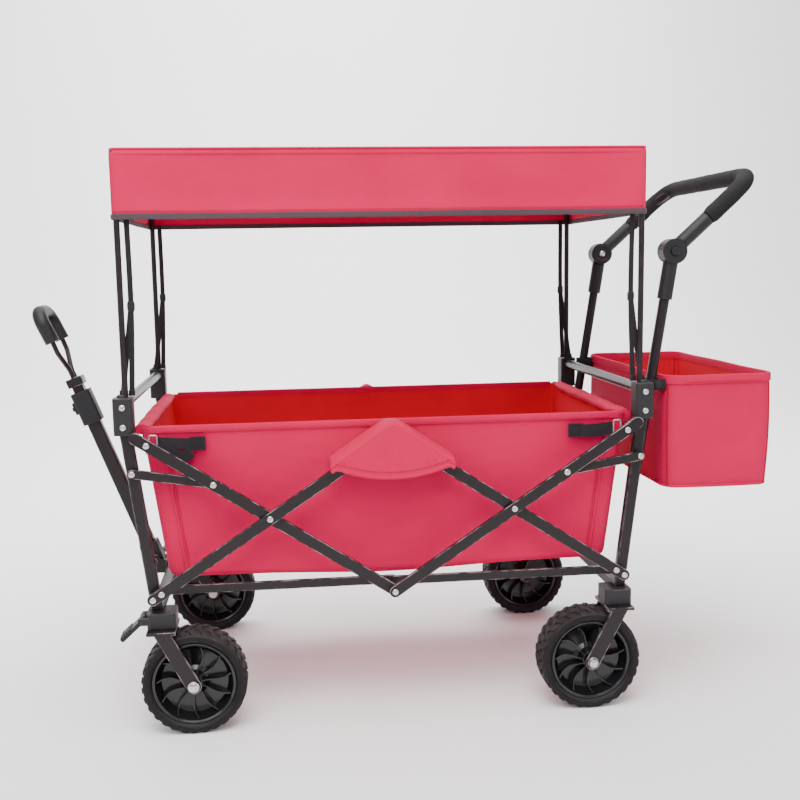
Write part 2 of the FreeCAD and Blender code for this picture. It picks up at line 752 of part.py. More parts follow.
def brake_pedal(side_name, side):
    """A foot pedal on the front of a front wheel's housing."""
    paddle = box(("pedal_length", "pedal_width", "pedal_gauge"), ("-pedal_length / 2", 0, 0))
    barrel = rod_y("pedal_gauge", "-pedal_width / 2", "pedal_width / 2")
    ribs = [box(("2.5", "pedal_width", "2.5"), (f"-pedal_length + {4 + 6 * step}", 0, "pedal_gauge / 2 + 1"))
            for step in range(RIB_COUNT)]
    pedal = cut(fuse(paddle, barrel, *ribs),
                rod_y("pin_radius + pin_clearance", "-pedal_width", "pedal_width"))
    node(f"{side_name}_brake_pedal",
         place(pedal, PEDAL_X, f"{side} * wheel_plane", PEDAL_Z, Vector(0, 1, 0), PEDAL_DROOP))


def handle():
    """The telescopic pull handle on its pivot at the front."""
    base = ("-handle_pivot_x", 0, "handle_pivot_z")
    axis, lean = Vector(0, 1, 0), "-handle_lean"
    outer = cut(square_tube("handle_width", "handle_depth", "handle_tube", "handle_wall"),
                box(("2 * handle_width", "2 * handle_depth", "2 * pivot_block_seat")))
    block = cut(box(("handle_width + 9", "handle_depth + 10", "48"), (0, 0, 11)),
                box(("handle_width", "handle_depth", "60"), (0, 0, "pivot_block_seat + 30")))
    pin = rod_y("pin_radius + pin_clearance", "-40", "40")
    node("handle_outer_tube", place(outer, *base, axis, lean))
    node("handle_pivot_block", place(cut(block, pin), *base, axis, lean))
    gap = "seat_clearance * 2"
    inner_w = f"(handle_width - 2 * handle_wall - 2 * {gap})"
    inner_d = f"(handle_depth - 2 * handle_wall - 2 * {gap})"
    tube_top = "(handle_tube + clamp_length - 12)"
    length = f"({tube_top} + 18 - 40)"
    inner = box((inner_w, inner_d, length), (0, 0, f"40 + ({length}) / 2"))
    node("handle_inner_tube", place(fuse(inner, box(("8", "8", "8"), (0, 0, 60))), *base, axis, lean))
    body = rounded(box(("clamp_width", "clamp_width - 4", "clamp_length"),
                       (0, 0, "handle_tube - 12 + clamp_length / 2")), 5.0, Vector(0, 0, 1))
    passage = box((f"{inner_w} + 2 * {gap}", f"{inner_d} + 2 * {gap}", "3 * clamp_length"),
                  (0, 0, "handle_tube"))
    seat = box(("handle_width + 2 * seat_clearance", "handle_depth + 2 * seat_clearance", "24"),
               (0, 0, "handle_tube - 12 + 0.1"))
    button_z = "(handle_tube + clamp_length / 2 - 8)"
    well = box(("14", "18", "24"), ("-clamp_width / 2", 0, button_z))
    node("handle_clamp", place(cut(body, passage, seat, well), *base, axis, lean))
    button = box(("8", "17", "23"), ("-clamp_width / 2 - 1", 0, button_z))
    thumb_rest = box(("3", "17", "8"), ("-clamp_width / 2 - 6", 0, button_z))
    node("handle_clamp_button", place(fuse(button, thumb_rest), *base, axis, lean))
    lean_turn = Rotation(Vector(0, 1, 0), -dim("handle_lean"))
    origin = Vector(-dim("handle_pivot_x"), 0, dim("handle_pivot_z"))

    def at(across, side, along):
        """A point of the handle, measured across, sideways and along its lean."""
        return origin + lean_turn.multVec(Vector(across, side, along))

    start = dim("handle_tube") + dim("clamp_length") + 14
    top = start + dim("yoke_rise")
    spread, bend = dim("yoke_spread"), 14.0
    collar = place(cut(box(("30", "28", "16"), (0, 0, f"{tube_top} + 16 + 8 - 4")),
                       box((inner_w, inner_d, "18"), (0, 0, f"{tube_top} + 16 - 5"))), *base, axis, lean)
    rods = []
    for side in SIDES.values():
        points = [at(0, side * 8, start + 2), at(0, side * 8, start + 18),
                  at(0, side * spread, start + 0.62 * dim("yoke_rise")), at(0, side * spread, top)]
        rods.append(solid_piece(pipe(points, dim("yoke_radius"), bend)))
    node("handle_yoke", fuse(collar, *rods))
    rise = dim("grip_rise")
    points = [at(0, -spread, top - 12), at(-4, -spread, top + rise), at(-4, spread, top + rise),
              at(0, spread, top - 12)]
    grip = solid_piece(pipe(points, dim("grip_radius"), 26.0))
    seats = []
    for side in SIDES.values():
        points = [at(0, side * spread, start + 0.8 * dim("yoke_rise")),
                  at(0, side * spread, top - 1), at(0.01, side * spread, top + 1)]
        seats.append(solid_piece(pipe(points, dim("yoke_radius") + dim("pin_clearance"), 0.5)))
    node("handle_grip", cut(grip, *seats))
    ears = []
    plate_z = "handle_pivot_z"
    face = f"({post_x(1, 'lower_cross_height')} + lower_cross_size / 2)"
    for side in SIDES.values():
        ear = box((f"handle_pivot_x - {face}", "4", "26"),
                  (f"-(handle_pivot_x + {face}) / 2", f"{side} * 18", f"{plate_z} - 10"))
        hole = side_rod(side, "pin_radius + pin_clearance", "10", "30", "-handle_pivot_x", plate_z)
        ears.append(cut(fuse(ear, side_rod(side, "13", "16", "20", "-handle_pivot_x", plate_z)), hole))
    pivot = fuse(rod_y("pin_radius", "-20.5", "20.5", "-handle_pivot_x", plate_z),
                 rod_y("head_radius", "20.5", "23.5", "-handle_pivot_x", plate_z),
                 rod_y("head_radius", "-23.5", "-20.5", "-handle_pivot_x", plate_z))
    node("handle_pivot_bracket", group(*ears, pivot))


def push_bar():
    """The rear push bar: fixed legs, adjusters and the tilting bow with its foam grip."""
    lean = math.radians(dim("push_lean"))
    rise = math.radians(dim("push_rise"))
    plane, radius, wall = dim("push_plane"), dim("push_radius"), dim("push_wall")
    pivot = Vector(dim("push_pivot_x"), 0, dim("push_pivot_z"))
    down = Vector(-math.sin(lean), 0, -math.cos(lean))
    out = Vector(math.cos(rise), 0, math.sin(rise))
    foot_z = dim("lower_cross_height") + dim("lower_cross_size") / 2 + 1
    legs, lowers, uppers = [], [], []
    for side in SIDES.values():
        centre = pivot + Vector(0, side * plane, 0)
        reach = (centre.z - foot_z) / math.cos(lean)
        start, foot = centre + down * 24, centre + down * reach
        tube = Part.makeCylinder(radius, (foot - start).Length, start, down)
        tube = tube.cut(Part.makeCylinder(radius - wall, (foot - start).Length, start, down))
        legs.append(solid_piece(tube))
        disc = Part.makeCylinder(dim("adjuster_radius"), dim("adjuster_width") / 2 - 0.3,
                                 centre + Vector(0, side * 0.3, 0), Vector(0, side, 0))
        sleeve = Part.makeCylinder(dim("sleeve_radius"), dim("sleeve_length"), centre + down * 10, down)
        keep_out = Part.makeCylinder(dim("adjuster_radius") + 1, dim("adjuster_width"), centre,
                                     Vector(0, -side, 0))
        bore = Part.makeCylinder(radius + dim("seat_clearance"), 100, centre + down * 24, down)
        well = Part.makeCylinder(dim("button_radius") + 0.3, 9, centre + Vector(0, side * 8, 0),
                                 Vector(0, side, 0))
        pin = Part.makeCylinder(6.0, 12, centre + Vector(0, -side * 11.5, 0), Vector(0, side, 0))
        lowers.append(solid_piece(disc.fuse(sleeve).cut(keep_out).cut(bore).cut(well).fuse(pin)))
        cap = Part.makeCylinder(dim("adjuster_radius"), dim("adjuster_width") / 2 - 0.3,
                                centre + Vector(0, -side * 0.3, 0), Vector(0, -side, 0))
        sleeve = Part.makeCylinder(dim("sleeve_radius"), dim("sleeve_length"), centre + out * 10, out)
        keep_out = Part.makeCylinder(dim("adjuster_radius") + 1, dim("adjuster_width"), centre,
                                     Vector(0, side, 0))
        bore = Part.makeCylinder(radius + dim("seat_clearance"), 100, centre + out * 24, out)
        hole = Part.makeCylinder(6.05, 30, centre + Vector(0, -side * 12, 0), Vector(0, side, 0))
        uppers.append(solid_piece(cap.fuse(sleeve).cut(keep_out).cut(bore).cut(hole)))
        button = Part.makeCylinder(dim("button_radius"), 6, centre + Vector(0, side * 12.2, 0),
                                   Vector(0, side, 0))
        node(f"{'left' if side < 0 else 'right'}_adjuster_button", solid_piece(button))
    node("push_legs", group(*legs))
    node("lower_adjusters", group(*lowers))
    node("upper_adjusters", group(*uppers))
    near, far = (pivot + Vector(0, side * plane, 0) for side in SIDES.values())
    reach = dim("push_reach")
    points = [near + out * 24, near + out * reach, far + out * reach, far + out * 24]
    bow = pipe(points, radius, dim("push_bend"))
    bore = pipe(points, radius - wall, dim("push_bend"))
    node("push_bow_tube", solid_piece(bow.cut(bore)))
    start = dim("sleeve_length") + 12
    points = [near + out * start, near + out * reach, far + out * reach, far + out * start]
    foam = pipe(points, dim("foam_radius"), dim("push_bend"))
    node("push_bow_foam", solid_piece(foam.cut(pipe(points, radius, dim("push_bend")))))


def canopy():
    """Four poles, the fabric cover and the webbing that ties it down."""
    straps = []
    for end_name, end in ENDS.items():
        poles = []
        for side in SIDES.values():
            poles.append(rod_z("pole_radius", "bracket_top - socket_depth + 1",
                               "canopy_top - canopy_cloth - 1",
                               f"{end} * pole_place", f"{side} * pole_plane"))
            for inset in (12, 30):
                strap = box(("strap_width", "webbing", "canopy_bottom - bracket_top + 24"),
                            (f"{end} * (pole_place - {inset})", f"{side} * (pole_plane - 11 - {inset} / 10)",
                             "(canopy_bottom + bracket_top + 26) / 2"))
                straps.append(strap)
        node(f"canopy_{end_name}_poles", group(*poles))
    node("canopy_straps", group(*straps))
    outer = box(("2 * canopy_half_length", "2 * canopy_half_width", "canopy_top - canopy_bottom"),
                (0, 0, "(canopy_top + canopy_bottom) / 2"))
    outer = rounded(outer, 10.0, Vector(0, 0, 1))
    inner = box(("2 * (canopy_half_length - canopy_cloth)", "2 * (canopy_half_width - canopy_cloth)",
                 "canopy_top - canopy_bottom"),
                (0, 0, "(canopy_top + canopy_bottom) / 2 - canopy_cloth"))
    inner = rounded(inner, 7.5, Vector(0, 0, 1))
    node("canopy_cover", cut(outer, inner))


def wedge(top_half, bottom_half, half_width, low, high):
    """A block whose ends slope, wider at the top."""
    item = doc.addObject("Part::Wedge", "Wedge")
    bind(item, Xmin=f"-({bottom_half})", Xmax=bottom_half, X2min=f"-({top_half})", X2max=top_half,
         Zmin=f"-({half_width})", Zmax=half_width, Z2min=f"-({half_width})", Z2max=half_width,
         Ymin=0, Ymax=f"({high}) - ({low})")
    return place(item, 0, 0, low, Vector(1, 0, 0), 90)


def soft_goods():
    """The fabric tub with its mat, side flaps and tie straps, and the rear basket."""
    outer = wedge("tub_top_half", "tub_bottom_half", "tub_half_width", "tub_bottom", "tub_top")
    slope = "(tub_top_half - tub_bottom_half) * tub_cloth / (tub_top - tub_bottom)"
    inner = wedge("tub_top_half - tub_cloth", f"tub_bottom_half - tub_cloth + {slope}",
                  "tub_half_width - tub_cloth", "tub_bottom + tub_cloth", "tub_top")
    node("tub_fabric", cut(outer, inner))
    mat = box(("2 * (tub_bottom_half - mat_gap)", "2 * (tub_half_width - mat_gap)", "mat_gauge"),
              (0, 0, "tub_bottom + tub_cloth + mat_gauge / 2"))
    node("floor_mat", mat)
    flaps = []
    for side in SIDES.values():
        flap = Part.makePolygon([Vector(x, side * (flap_plane()), z) for x, z in flap_outline()])
        face = Part.Face(flap)
        flaps.append(solid_piece(face.extrude(Vector(0, side * dim("webbing"), 0))))
    node("side_flaps", group(*flaps))
    ties = []
    for end in ENDS.values():
        for side in SIDES.values():
            strap = box(("tie_length", "webbing", "strap_width"),
                        (f"{end} * (tub_top_half + tie_offset)", f"{side} * (tub_half_width + 1.4)",
                         "tub_top - tie_drop"))
            ring_at = (f"{end} * (tub_top_half + ring_offset)", f"{side} * (tub_half_width + 1.9)",
                       "tub_top - ring_drop")
            ring = cut(box(("14", "3", "26"), ring_at), box(("9", "5", "20"), ring_at))
            ties += [strap, ring]
    node("tie_straps_and_rings", group(*ties))
    size = ("basket_length", "2 * basket_half_width", "basket_top - basket_bottom")
    centre = ("basket_front + basket_length / 2", 0, "(basket_top + basket_bottom) / 2")
    outer = rounded(box(size, centre), 12.0, Vector(0, 0, 1))
    inner = box(("basket_length - 2 * basket_cloth", "2 * basket_half_width - 2 * basket_cloth",
                 "basket_top - basket_bottom"), (centre[0], 0, f"{centre[2]} + basket_cloth"))
    hooks = [cut(outer, rounded(inner, 9.0, Vector(0, 0, 1)))]
    for side in SIDES.values():
        arm = box(("basket_front - push_foot_x - 58", "3", "22"),
                  ("(basket_front + push_foot_x + 58) / 2", f"{side} * (push_plane + push_radius + 2.5)",
                   "basket_top - 16"))
        hooks.append(fuse(arm, leg_clip(side)))
    node("rear_basket", group(*hooks))


def leg_clip(side):
    """A clip that goes round a push leg just under the basket's rim."""
    x = "(push_pivot_x - (push_pivot_z - basket_top + 16) * tan(push_lean))"
    z = "(basket_top - 16)"
    body = box(("26", "24", "22"), (x, f"{side} * push_plane", z))
    bore = doc.addObject("Part::Cylinder", "Rod")
    bind(bore, Radius="push_radius + seat_clearance", Height=120)
    place(bore, f"{x} - 60 * sin(push_lean)", f"{side} * push_plane", f"{z} - 60 * cos(push_lean)",
          Vector(0, 1, 0), "push_lean")
    return cut(body, bore)


def flap_plane():
    """Inner face of the side flaps, outside the rivets of the top centre joint."""
    outermost = dim("side_plane") + dim("post_depth") / 2 + 3 * (dim("arm_gauge") + dim("arm_gap"))
    return outermost + dim("arm_gap") / 2 + dim("head_height") + 1.0


def flap_outline():
    """A triangle with its point up and a blunt lower hem, closed."""
    top = dim("tub_top")
    half, drop = dim("flap_half_width"), dim("flap_drop")
    corners = [(0, top), (half, top - 0.78 * drop), (0.5 * half, top - 0.95 * drop), (0, top - drop),
               (-0.5 * half, top - 0.95 * drop), (-half, top - 0.78 * drop)]
    return corners + corners[:1]


def main():
    """Build every sub-part, test it and write it."""
    for end_name, end in ENDS.items():
        posts(end_name, end)
        cross_tubes(end_name, end)
        corner_brackets(end_name, end)
        links(end_name, end)
        rails(end_name, end)
        frame_rivets(end_name, end)
    arms()
    arm_pivots()
    running_gear()
    for side_name, side in SIDES.items():
        brake_pedal(side_name, side)
    handle()
    push_bar()
    canopy()
    soft_goods()
    doc.recompute()
    for item in doc.Objects:
        if "Invalid" in item.State or "Error" in item.State:
            raise RuntimeError(f"{item.Label} failed: {item.State}")
    for label, item in nodes.items():
        if item.Shape.isNull() or not item.Shape.isValid() or not item.Shape.Solids:
            raise RuntimeError(f"{label} has no valid shape")
    os.makedirs("parts", exist_ok=True)
    for label, item in nodes.items():
        item.Shape.exportStep(f"parts/{label}.step")
    print(len(nodes), "nodes")


main()
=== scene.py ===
import json
import logging
import math
from collections.abc import Callable, Sequence
from dataclasses import dataclass, field
from enum import Enum

import bmesh
import bpy
from mathutils import Matrix, Vector

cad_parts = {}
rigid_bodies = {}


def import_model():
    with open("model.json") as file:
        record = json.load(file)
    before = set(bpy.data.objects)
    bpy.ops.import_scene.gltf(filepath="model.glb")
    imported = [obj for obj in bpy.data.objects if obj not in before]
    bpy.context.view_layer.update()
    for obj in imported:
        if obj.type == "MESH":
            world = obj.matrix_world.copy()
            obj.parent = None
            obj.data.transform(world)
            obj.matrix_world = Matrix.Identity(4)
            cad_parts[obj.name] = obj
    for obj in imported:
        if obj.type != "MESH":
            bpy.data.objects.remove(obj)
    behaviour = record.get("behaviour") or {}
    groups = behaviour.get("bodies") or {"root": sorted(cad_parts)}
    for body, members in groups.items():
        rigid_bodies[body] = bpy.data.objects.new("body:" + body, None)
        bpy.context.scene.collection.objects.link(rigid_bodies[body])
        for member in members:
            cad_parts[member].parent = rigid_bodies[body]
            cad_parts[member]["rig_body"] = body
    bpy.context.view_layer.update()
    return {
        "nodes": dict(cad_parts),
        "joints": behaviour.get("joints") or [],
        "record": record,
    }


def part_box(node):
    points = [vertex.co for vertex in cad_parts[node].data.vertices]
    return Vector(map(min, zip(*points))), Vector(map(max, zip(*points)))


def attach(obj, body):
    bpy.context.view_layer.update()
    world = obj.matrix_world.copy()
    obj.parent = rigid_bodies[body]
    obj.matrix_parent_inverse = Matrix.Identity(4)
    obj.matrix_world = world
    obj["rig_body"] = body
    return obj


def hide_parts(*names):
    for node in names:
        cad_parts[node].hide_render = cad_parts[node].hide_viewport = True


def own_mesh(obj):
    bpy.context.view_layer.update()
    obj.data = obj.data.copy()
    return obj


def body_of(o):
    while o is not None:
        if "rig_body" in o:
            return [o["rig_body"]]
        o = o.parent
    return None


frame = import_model()
LOG = logging.getLogger("folding_wagon")
SIDES = {"left": -1, "right": 1}
ENDS = {"front": -1, "rear": 1}
MM = 0.001

Outline = Sequence[tuple[float, float]]


class Corner(Enum):
    """How a bent line of tube or tape turns its corners."""

    ROUND = 8


# ---------------------------------------------------------------- shader node groups


class NodeSheet:
    """A thin helper that adds and links nodes in one node tree."""

    def __init__(self, tree: bpy.types.NodeTree) -> None:
        """Start with an empty tree.

        Args:
            tree: the material's or the group's node tree.
        """
        self.tree = tree
        tree.nodes.clear()

    def add(self, kind: str, values: dict | None = None, **settings) -> bpy.types.Node:
        """Add a node.

        Args:
            kind: the node's type name, without its ShaderNode prefix.
            values: what each input takes, a constant or another node's output.
            settings: the node's own properties.

        Returns:
            The new node.
        """
        prefix = "" if kind.startswith("NodeGroup") else "ShaderNode"
        node = self.tree.nodes.new(prefix + kind)
        for name, value in settings.items():
            setattr(node, name, value)
        for socket, value in (values or {}).items():
            self.set(node.inputs[socket], value)
        return node

    def set(self, socket: bpy.types.NodeSocket, value: object) -> None:
        """Give an input a constant, or link it to another node's output."""
        if isinstance(value, bpy.types.NodeSocket):
            self.tree.links.new(value, socket)
        else:
            socket.default_value = value

    def math(self, operation: str, *values: object) -> bpy.types.NodeSocket:
        """A Math node's result.

        Args:
            operation: the Math node's operation.
            values: its inputs in order.

        Returns:
            The output socket.
        """
        node = self.add("Math", operation=operation)
        for socket, value in zip(node.inputs, values):
            self.set(socket, value)
        return node.outputs[0]

    def mix(self, factor: object, low: object, high: object) -> bpy.types.NodeSocket:
        """Mix two colours.

        Args:
            factor: share of the second colour.
            low: the first colour.
            high: the second colour.

        Returns:
            The mixed colour's socket.
        """
        node = self.add("Mix", data_type="RGBA")
        for index, value in ((0, factor), (6, low), (7, high)):
            self.set(node.inputs[index], value)
        return node.outputs[2]

    def noise(self, where: object, scale: float, detail: float = 3.0) -> bpy.types.NodeSocket:
        """Noise over the object's own coordinates.

        Args:
            where: the coordinates' socket.
            scale: cells in a metre.
            detail: octaves of detail.

        Returns:
            The noise value's socket.
        """
        return self.add("TexNoise", {"Vector": where, "Scale": scale, "Detail": detail}).outputs[0]

    def place(self) -> bpy.types.NodeSocket:
        """The object's own coordinates."""
        return self.add("TexCoord").outputs["Object"]

    def group(self, group: bpy.types.NodeTree, **values: object) -> bpy.types.Node:
        """Place a node group with its own values."""
        node = self.add("Group", node_tree=group)
        for name, value in values.items():
            self.set(node.inputs[name.replace("_", " ")], value)
        return node


def new_group(name: str, inputs: dict[str, float], outputs: dict[str, str]) -> tuple[NodeSheet, dict, dict]:
    """Start a node group.

    Args:
        name: the group's name.
        inputs: each input's name and the value it starts with.
        outputs: each output's name and socket type.

    Returns:
        The group's sheet, its inputs' sockets by name, and its outputs' sockets by name.
    """
    tree = bpy.data.node_groups.new(name, "ShaderNodeTree")
    sheet = NodeSheet(tree)
    for title, value in inputs.items():
        tree.interface.new_socket(title, in_out="INPUT", socket_type="NodeSocketFloat").default_value = value
    for title, kind in outputs.items():
        tree.interface.new_socket(title, in_out="OUTPUT", socket_type=kind)
    entry, leave = sheet.add("NodeGroupInput"), sheet.add("NodeGroupOutput")
    return sheet, {k: entry.outputs[k] for k in inputs}, {k: leave.inputs[k] for k in outputs}


def soft_edge_group() -> bpy.types.NodeTree:
    """Rounded edges, and a mask along them that carries both edge wear and a painted edge highlight."""
    sheet, take, give = new_group(
        "soft_edge", {"Radius": 0.0012, "Wear": 0.5, "Patch Scale": 60.0},
        {"Normal": "NodeSocketVector", "Mask": "NodeSocketFloat"})
    rounded = sheet.add("Bevel", {"Radius": take["Radius"]}, samples=4).outputs[0]
    flat = sheet.add("NewGeometry").outputs["Normal"]
    turn = sheet.add("VectorMath", {0: rounded, 1: flat}, operation="DOT_PRODUCT").outputs["Value"]
    edge = sheet.add("MapRange", {"Value": turn, "From Min": 0.995, "From Max": 0.85}).outputs[0]
    patch = sheet.add("TexNoise", {"Vector": sheet.place(), "Scale": take["Patch Scale"]}).outputs[0]
    broken = sheet.add("MapRange", {"Value": patch, "From Min": 0.42, "From Max": 0.62}).outputs[0]
    # This mask paints a lighter colour along edges: partly wear, partly a painted highlight.
    sheet.set(give["Mask"], sheet.math("MULTIPLY", sheet.math("MULTIPLY", edge, broken), take["Wear"]))
    sheet.set(give["Normal"], rounded)
    return sheet.tree


def weave_group() -> bpy.types.NodeTree:
    """A plain weave: threads along all three axes, with slubs and slow colour drift."""
    sheet, take, give = new_group(
        "plain_weave", {"Threads": 900.0, "Slub": 0.35},
        {"Height": "NodeSocketFloat", "Shade": "NodeSocketFloat", "Drift": "NodeSocketFloat"})
    where = sheet.place()
    axes = sheet.add("SeparateXYZ", {"Vector": where}).outputs
    turn = sheet.math("MULTIPLY", take["Threads"], 2 * math.pi)
    waves = [sheet.math("SINE", sheet.math("MULTIPLY", axis, turn)) for axis in axes]
    pairs = [sheet.math("MULTIPLY", waves[a], waves[b]) for a, b in ((0, 1), (1, 2), (0, 2))]
    cloth = sheet.math("ADD", sheet.math("ADD", pairs[0], pairs[1]), pairs[2])
    slubs = sheet.noise(where, 420.0, 2.0)
    height = sheet.math("ADD", cloth, sheet.math("MULTIPLY", slubs, take["Slub"]))
    sheet.set(give["Height"], height)
    sheet.set(give["Shade"], sheet.add("MapRange",
                                       {"Value": height, "From Min": -1.0, "From Max": 1.4}).outputs[0])
    sheet.set(give["Drift"], sheet.noise(where, 6.0, 4.0))
    return sheet.tree


def grain_group() -> bpy.types.NodeTree:
    """Moulded grain: a fine pebble over a slow wave."""
    sheet, take, give = new_group(
        "moulded_grain", {"Fine": 1400.0, "Coarse": 90.0},
        {"Height": "NodeSocketFloat", "Blotch": "NodeSocketFloat"})
    where = sheet.place()
    pebble = sheet.add("TexVoronoi", {"Vector": where, "Scale": take["Fine"]}).outputs["Distance"]
    blotch = sheet.add("TexNoise", {"Vector": where, "Scale": take["Coarse"], "Detail": 4.0}).outputs[0]
    sheet.set(give["Height"], sheet.math("ADD", pebble, sheet.math("MULTIPLY", blotch, 0.6)))
    sheet.set(give["Blotch"], blotch)
    return sheet.tree


def dust_group() -> bpy.types.NodeTree:
    """A mask of dust on faces that look up."""
    sheet, take, give = new_group("dust", {"Amount": 0.3}, {"Mask": "NodeSocketFloat"})
    up = sheet.add("SeparateXYZ", {"Vector": sheet.add("NewGeometry").outputs["Normal"]}).outputs["Z"]
    lying = sheet.add("MapRange", {"Value": up, "From Min": 0.2, "From Max": 1.0}).outputs[0]
    cloud = sheet.noise(sheet.place(), 35.0, 5.0)
    sheet.set(give["Mask"], sheet.math("MULTIPLY", sheet.math("MULTIPLY", lying, cloud), take["Amount"]))
    return sheet.tree


SOFT_EDGE, WEAVE, GRAIN, DUST = soft_edge_group(), weave_group(), grain_group(), dust_group()
Colour = tuple[float, float, float, float]


def colour(red: float, green: float, blue: float) -> Colour:
    """A linear colour with full alpha."""
    return (red, green, blue, 1.0)


def start_material(name: str) -> tuple[bpy.types.Material, NodeSheet, bpy.types.Node]:
    """A new material with a Principled shader.

    Args:
        name: the material's name.

    Returns:
        The material, its node sheet and the shader.
    """
    made = bpy.data.materials.new(name)
    made.use_nodes = True
    sheet = NodeSheet(made.node_tree)
    shader = sheet.add("BsdfPrincipled")
    sheet.add("OutputMaterial", {"Surface": shader.outputs[0]})
    return made, sheet, shader


@dataclass(frozen=True)
class Cloth:
    """Woven polyester."""

    name: str
    shade: Colour
    thread: Colour
    threads: float = 850.0
    bump: float = 0.25
    sheen: float = 0.02

    def material(self) -> bpy.types.Material:
        """Build the material."""
        made, sheet, shader = start_material(self.name)
        weave = sheet.group(WEAVE, Threads=self.threads)
        dust = sheet.group(DUST, Amount=0.008)
        lit = sheet.mix(weave.outputs["Shade"], self.shade, self.thread)
        drift = sheet.add("MapRange", {"Value": weave.outputs["Drift"], "From Min": 0.3, "From Max": 0.7,
                                       "To Min": 0.0, "To Max": 0.35}).outputs[0]
        toned = sheet.mix(drift, lit, tuple(0.72 * c for c in self.shade[:3]) + (1.0,))
        sheet.set(shader.inputs["Base Color"], sheet.mix(dust.outputs[0], toned, colour(0.6, 0.5, 0.48)))
        crease = sheet.noise(sheet.place(), 28.0, 2.0)
        height = sheet.math("ADD", sheet.math("MULTIPLY", weave.outputs["Height"], 0.5),
                            sheet.math("MULTIPLY", crease, 3.0))
        bump = sheet.add("Bump", {"Height": height, "Strength": self.bump, "Distance": 0.0006})
        sheet.set(shader.inputs["Normal"], bump.outputs[0])
        rough = sheet.add("MapRange",
                          {"Value": weave.outputs["Shade"], "To Min": 0.82, "To Max": 0.68}).outputs[0]
        sheet.set(shader.inputs["Roughness"], rough)
        shader.inputs["Sheen Weight"].default_value = self.sheen
        shader.inputs["Sheen Roughness"].default_value = 0.45
        shader.inputs["Specular IOR Level"].default_value = 0.12
        return made


@dataclass(frozen=True)
class Moulding:
    """Moulded plastic, rubber or powder coat, with grain, dust, and edges mixed to a lighter colour that is
    both wear and a painted highlight.
    """

    name: str
    shade: Colour
    worn_and_highlight: Colour
    roughness: float
    grain: float = 1400.0
    bump: float = 0.15
    edge: float = 0.0012
    wear_and_highlight: float = 0.35
    dust: float = 0.15
    coat: float = 0.0
    metallic: float = 0.0
    shine: float = 0.5

    def material(self) -> bpy.types.Material:
        """Build the material."""
        made, sheet, shader = start_material(self.name)
        edge = sheet.group(SOFT_EDGE, Radius=self.edge, Wear=self.wear_and_highlight)
        grain = sheet.group(GRAIN, Fine=self.grain)
        dust = sheet.group(DUST, Amount=self.dust)
        blotch = sheet.add("MapRange", {"Value": grain.outputs["Blotch"], "To Max": 0.5}).outputs[0]
        toned = sheet.mix(blotch, self.shade, tuple(1.35 * c for c in self.shade[:3]) + (1.0,))
        # Edges mix towards a lighter colour: partly wear, partly a painted highlight along the edges.
        rubbed_and_highlit = sheet.mix(edge.outputs["Mask"], toned, self.worn_and_highlight)
        dusty = sheet.mix(dust.outputs[0], rubbed_and_highlit, colour(0.35, 0.33, 0.31))
        sheet.set(shader.inputs["Base Color"], dusty)
        bump = sheet.add("Bump", {"Height": grain.outputs["Height"], "Strength": self.bump,
                                  "Distance": 0.0003, "Normal": edge.outputs["Normal"]})
        sheet.set(shader.inputs["Normal"], bump.outputs[0])
        low, high = self.roughness - 0.06, self.roughness + 0.12
        rough = sheet.add("MapRange",
                          {"Value": grain.outputs["Blotch"], "To Min": low, "To Max": high}).outputs[0]
        sheet.set(shader.inputs["Roughness"], rough)
        shader.inputs["Metallic"].default_value = self.metallic
        shader.inputs["Specular IOR Level"].default_value = self.shine
        shader.inputs["Coat Weight"].default_value = self.coat
        shader.inputs["Coat Roughness"].default_value = 0.12
        return made


FINISHES = {
    "red_fabric": Cloth("crimson_polyester", colour(0.52, 0.0004, 0.054), colour(0.66, 0.0010, 0.072)),
    "red_lining": Cloth("crimson_lining", colour(0.62, 0.0003, 0.022), colour(0.72, 0.0006, 0.030)),
    "red_thread": Cloth("sewing_thread", colour(0.34, 0.003, 0.02), colour(0.44, 0.008, 0.03), 2500.0),
    "black_webbing": Cloth("black_webbing", colour(0.010, 0.008, 0.010), colour(0.034, 0.029, 0.035),
                           620.0, 0.5, 0.12),
    "edge_binding": Cloth("mauve_grey_binding", colour(0.048, 0.034, 0.040), colour(0.100, 0.074, 0.086),
                          900.0, 0.4, 0.12),
    # Frame paint: its near-white pink second colour is a painted highlight along the bars' edges.
    "frame_paint": Moulding("brown_black_powder_coat", colour(0.0110, 0.0074, 0.0084),
                            colour(0.82, 0.60, 0.66), 0.34, 2200.0, 0.06, 0.0022, 0.95, 0.01, 0.10,
                            shine=0.22),
    "black_plastic": Moulding("grained_black_plastic", colour(0.0085, 0.0080, 0.0095),
                              colour(0.15, 0.14, 0.15), 0.46, 1500.0, 0.2, 0.0022, 0.45, 0.05,
                              shine=0.3),
    "grey_plastic": Moulding("grained_grey_plastic", colour(0.0150, 0.0135, 0.0155),
                             colour(0.24, 0.22, 0.23), 0.44, 1500.0, 0.2, 0.0025, 0.5, 0.05,
                             shine=0.3),
    "hub_plastic": Moulding("gloss_black_plastic", colour(0.0050, 0.0048, 0.0060),
                            colour(0.06, 0.06, 0.07), 0.20, 600.0, 0.03, 0.0010, 0.2, 0.02, 0.25,
                            shine=0.35),
    "tyre_rubber": Moulding("tyre_rubber", colour(0.0090, 0.0070, 0.0082), colour(0.06, 0.056, 0.058),
                            0.62, 900.0, 0.3, 0.0010, 0.5, 0.12, shine=0.2),
    "zinc_steel": Moulding("zinc_plated_steel", colour(0.52, 0.50, 0.50), colour(0.80, 0.80, 0.80),
                           0.24, 900.0, 0.05, 0.0008, 0.4, 0.03, 0.0, 1.0),
    "grip_foam": Moulding("closed_cell_foam", colour(0.0110, 0.0105, 0.0115), colour(0.07, 0.07, 0.07),
                          0.88, 480.0, 0.9, 0.0010, 0.2, 0.08, shine=0.2),
}
MATERIALS = {title: finish.material() for title, finish in FINISHES.items()}

# ---------------------------------------------------------------- mesh helpers


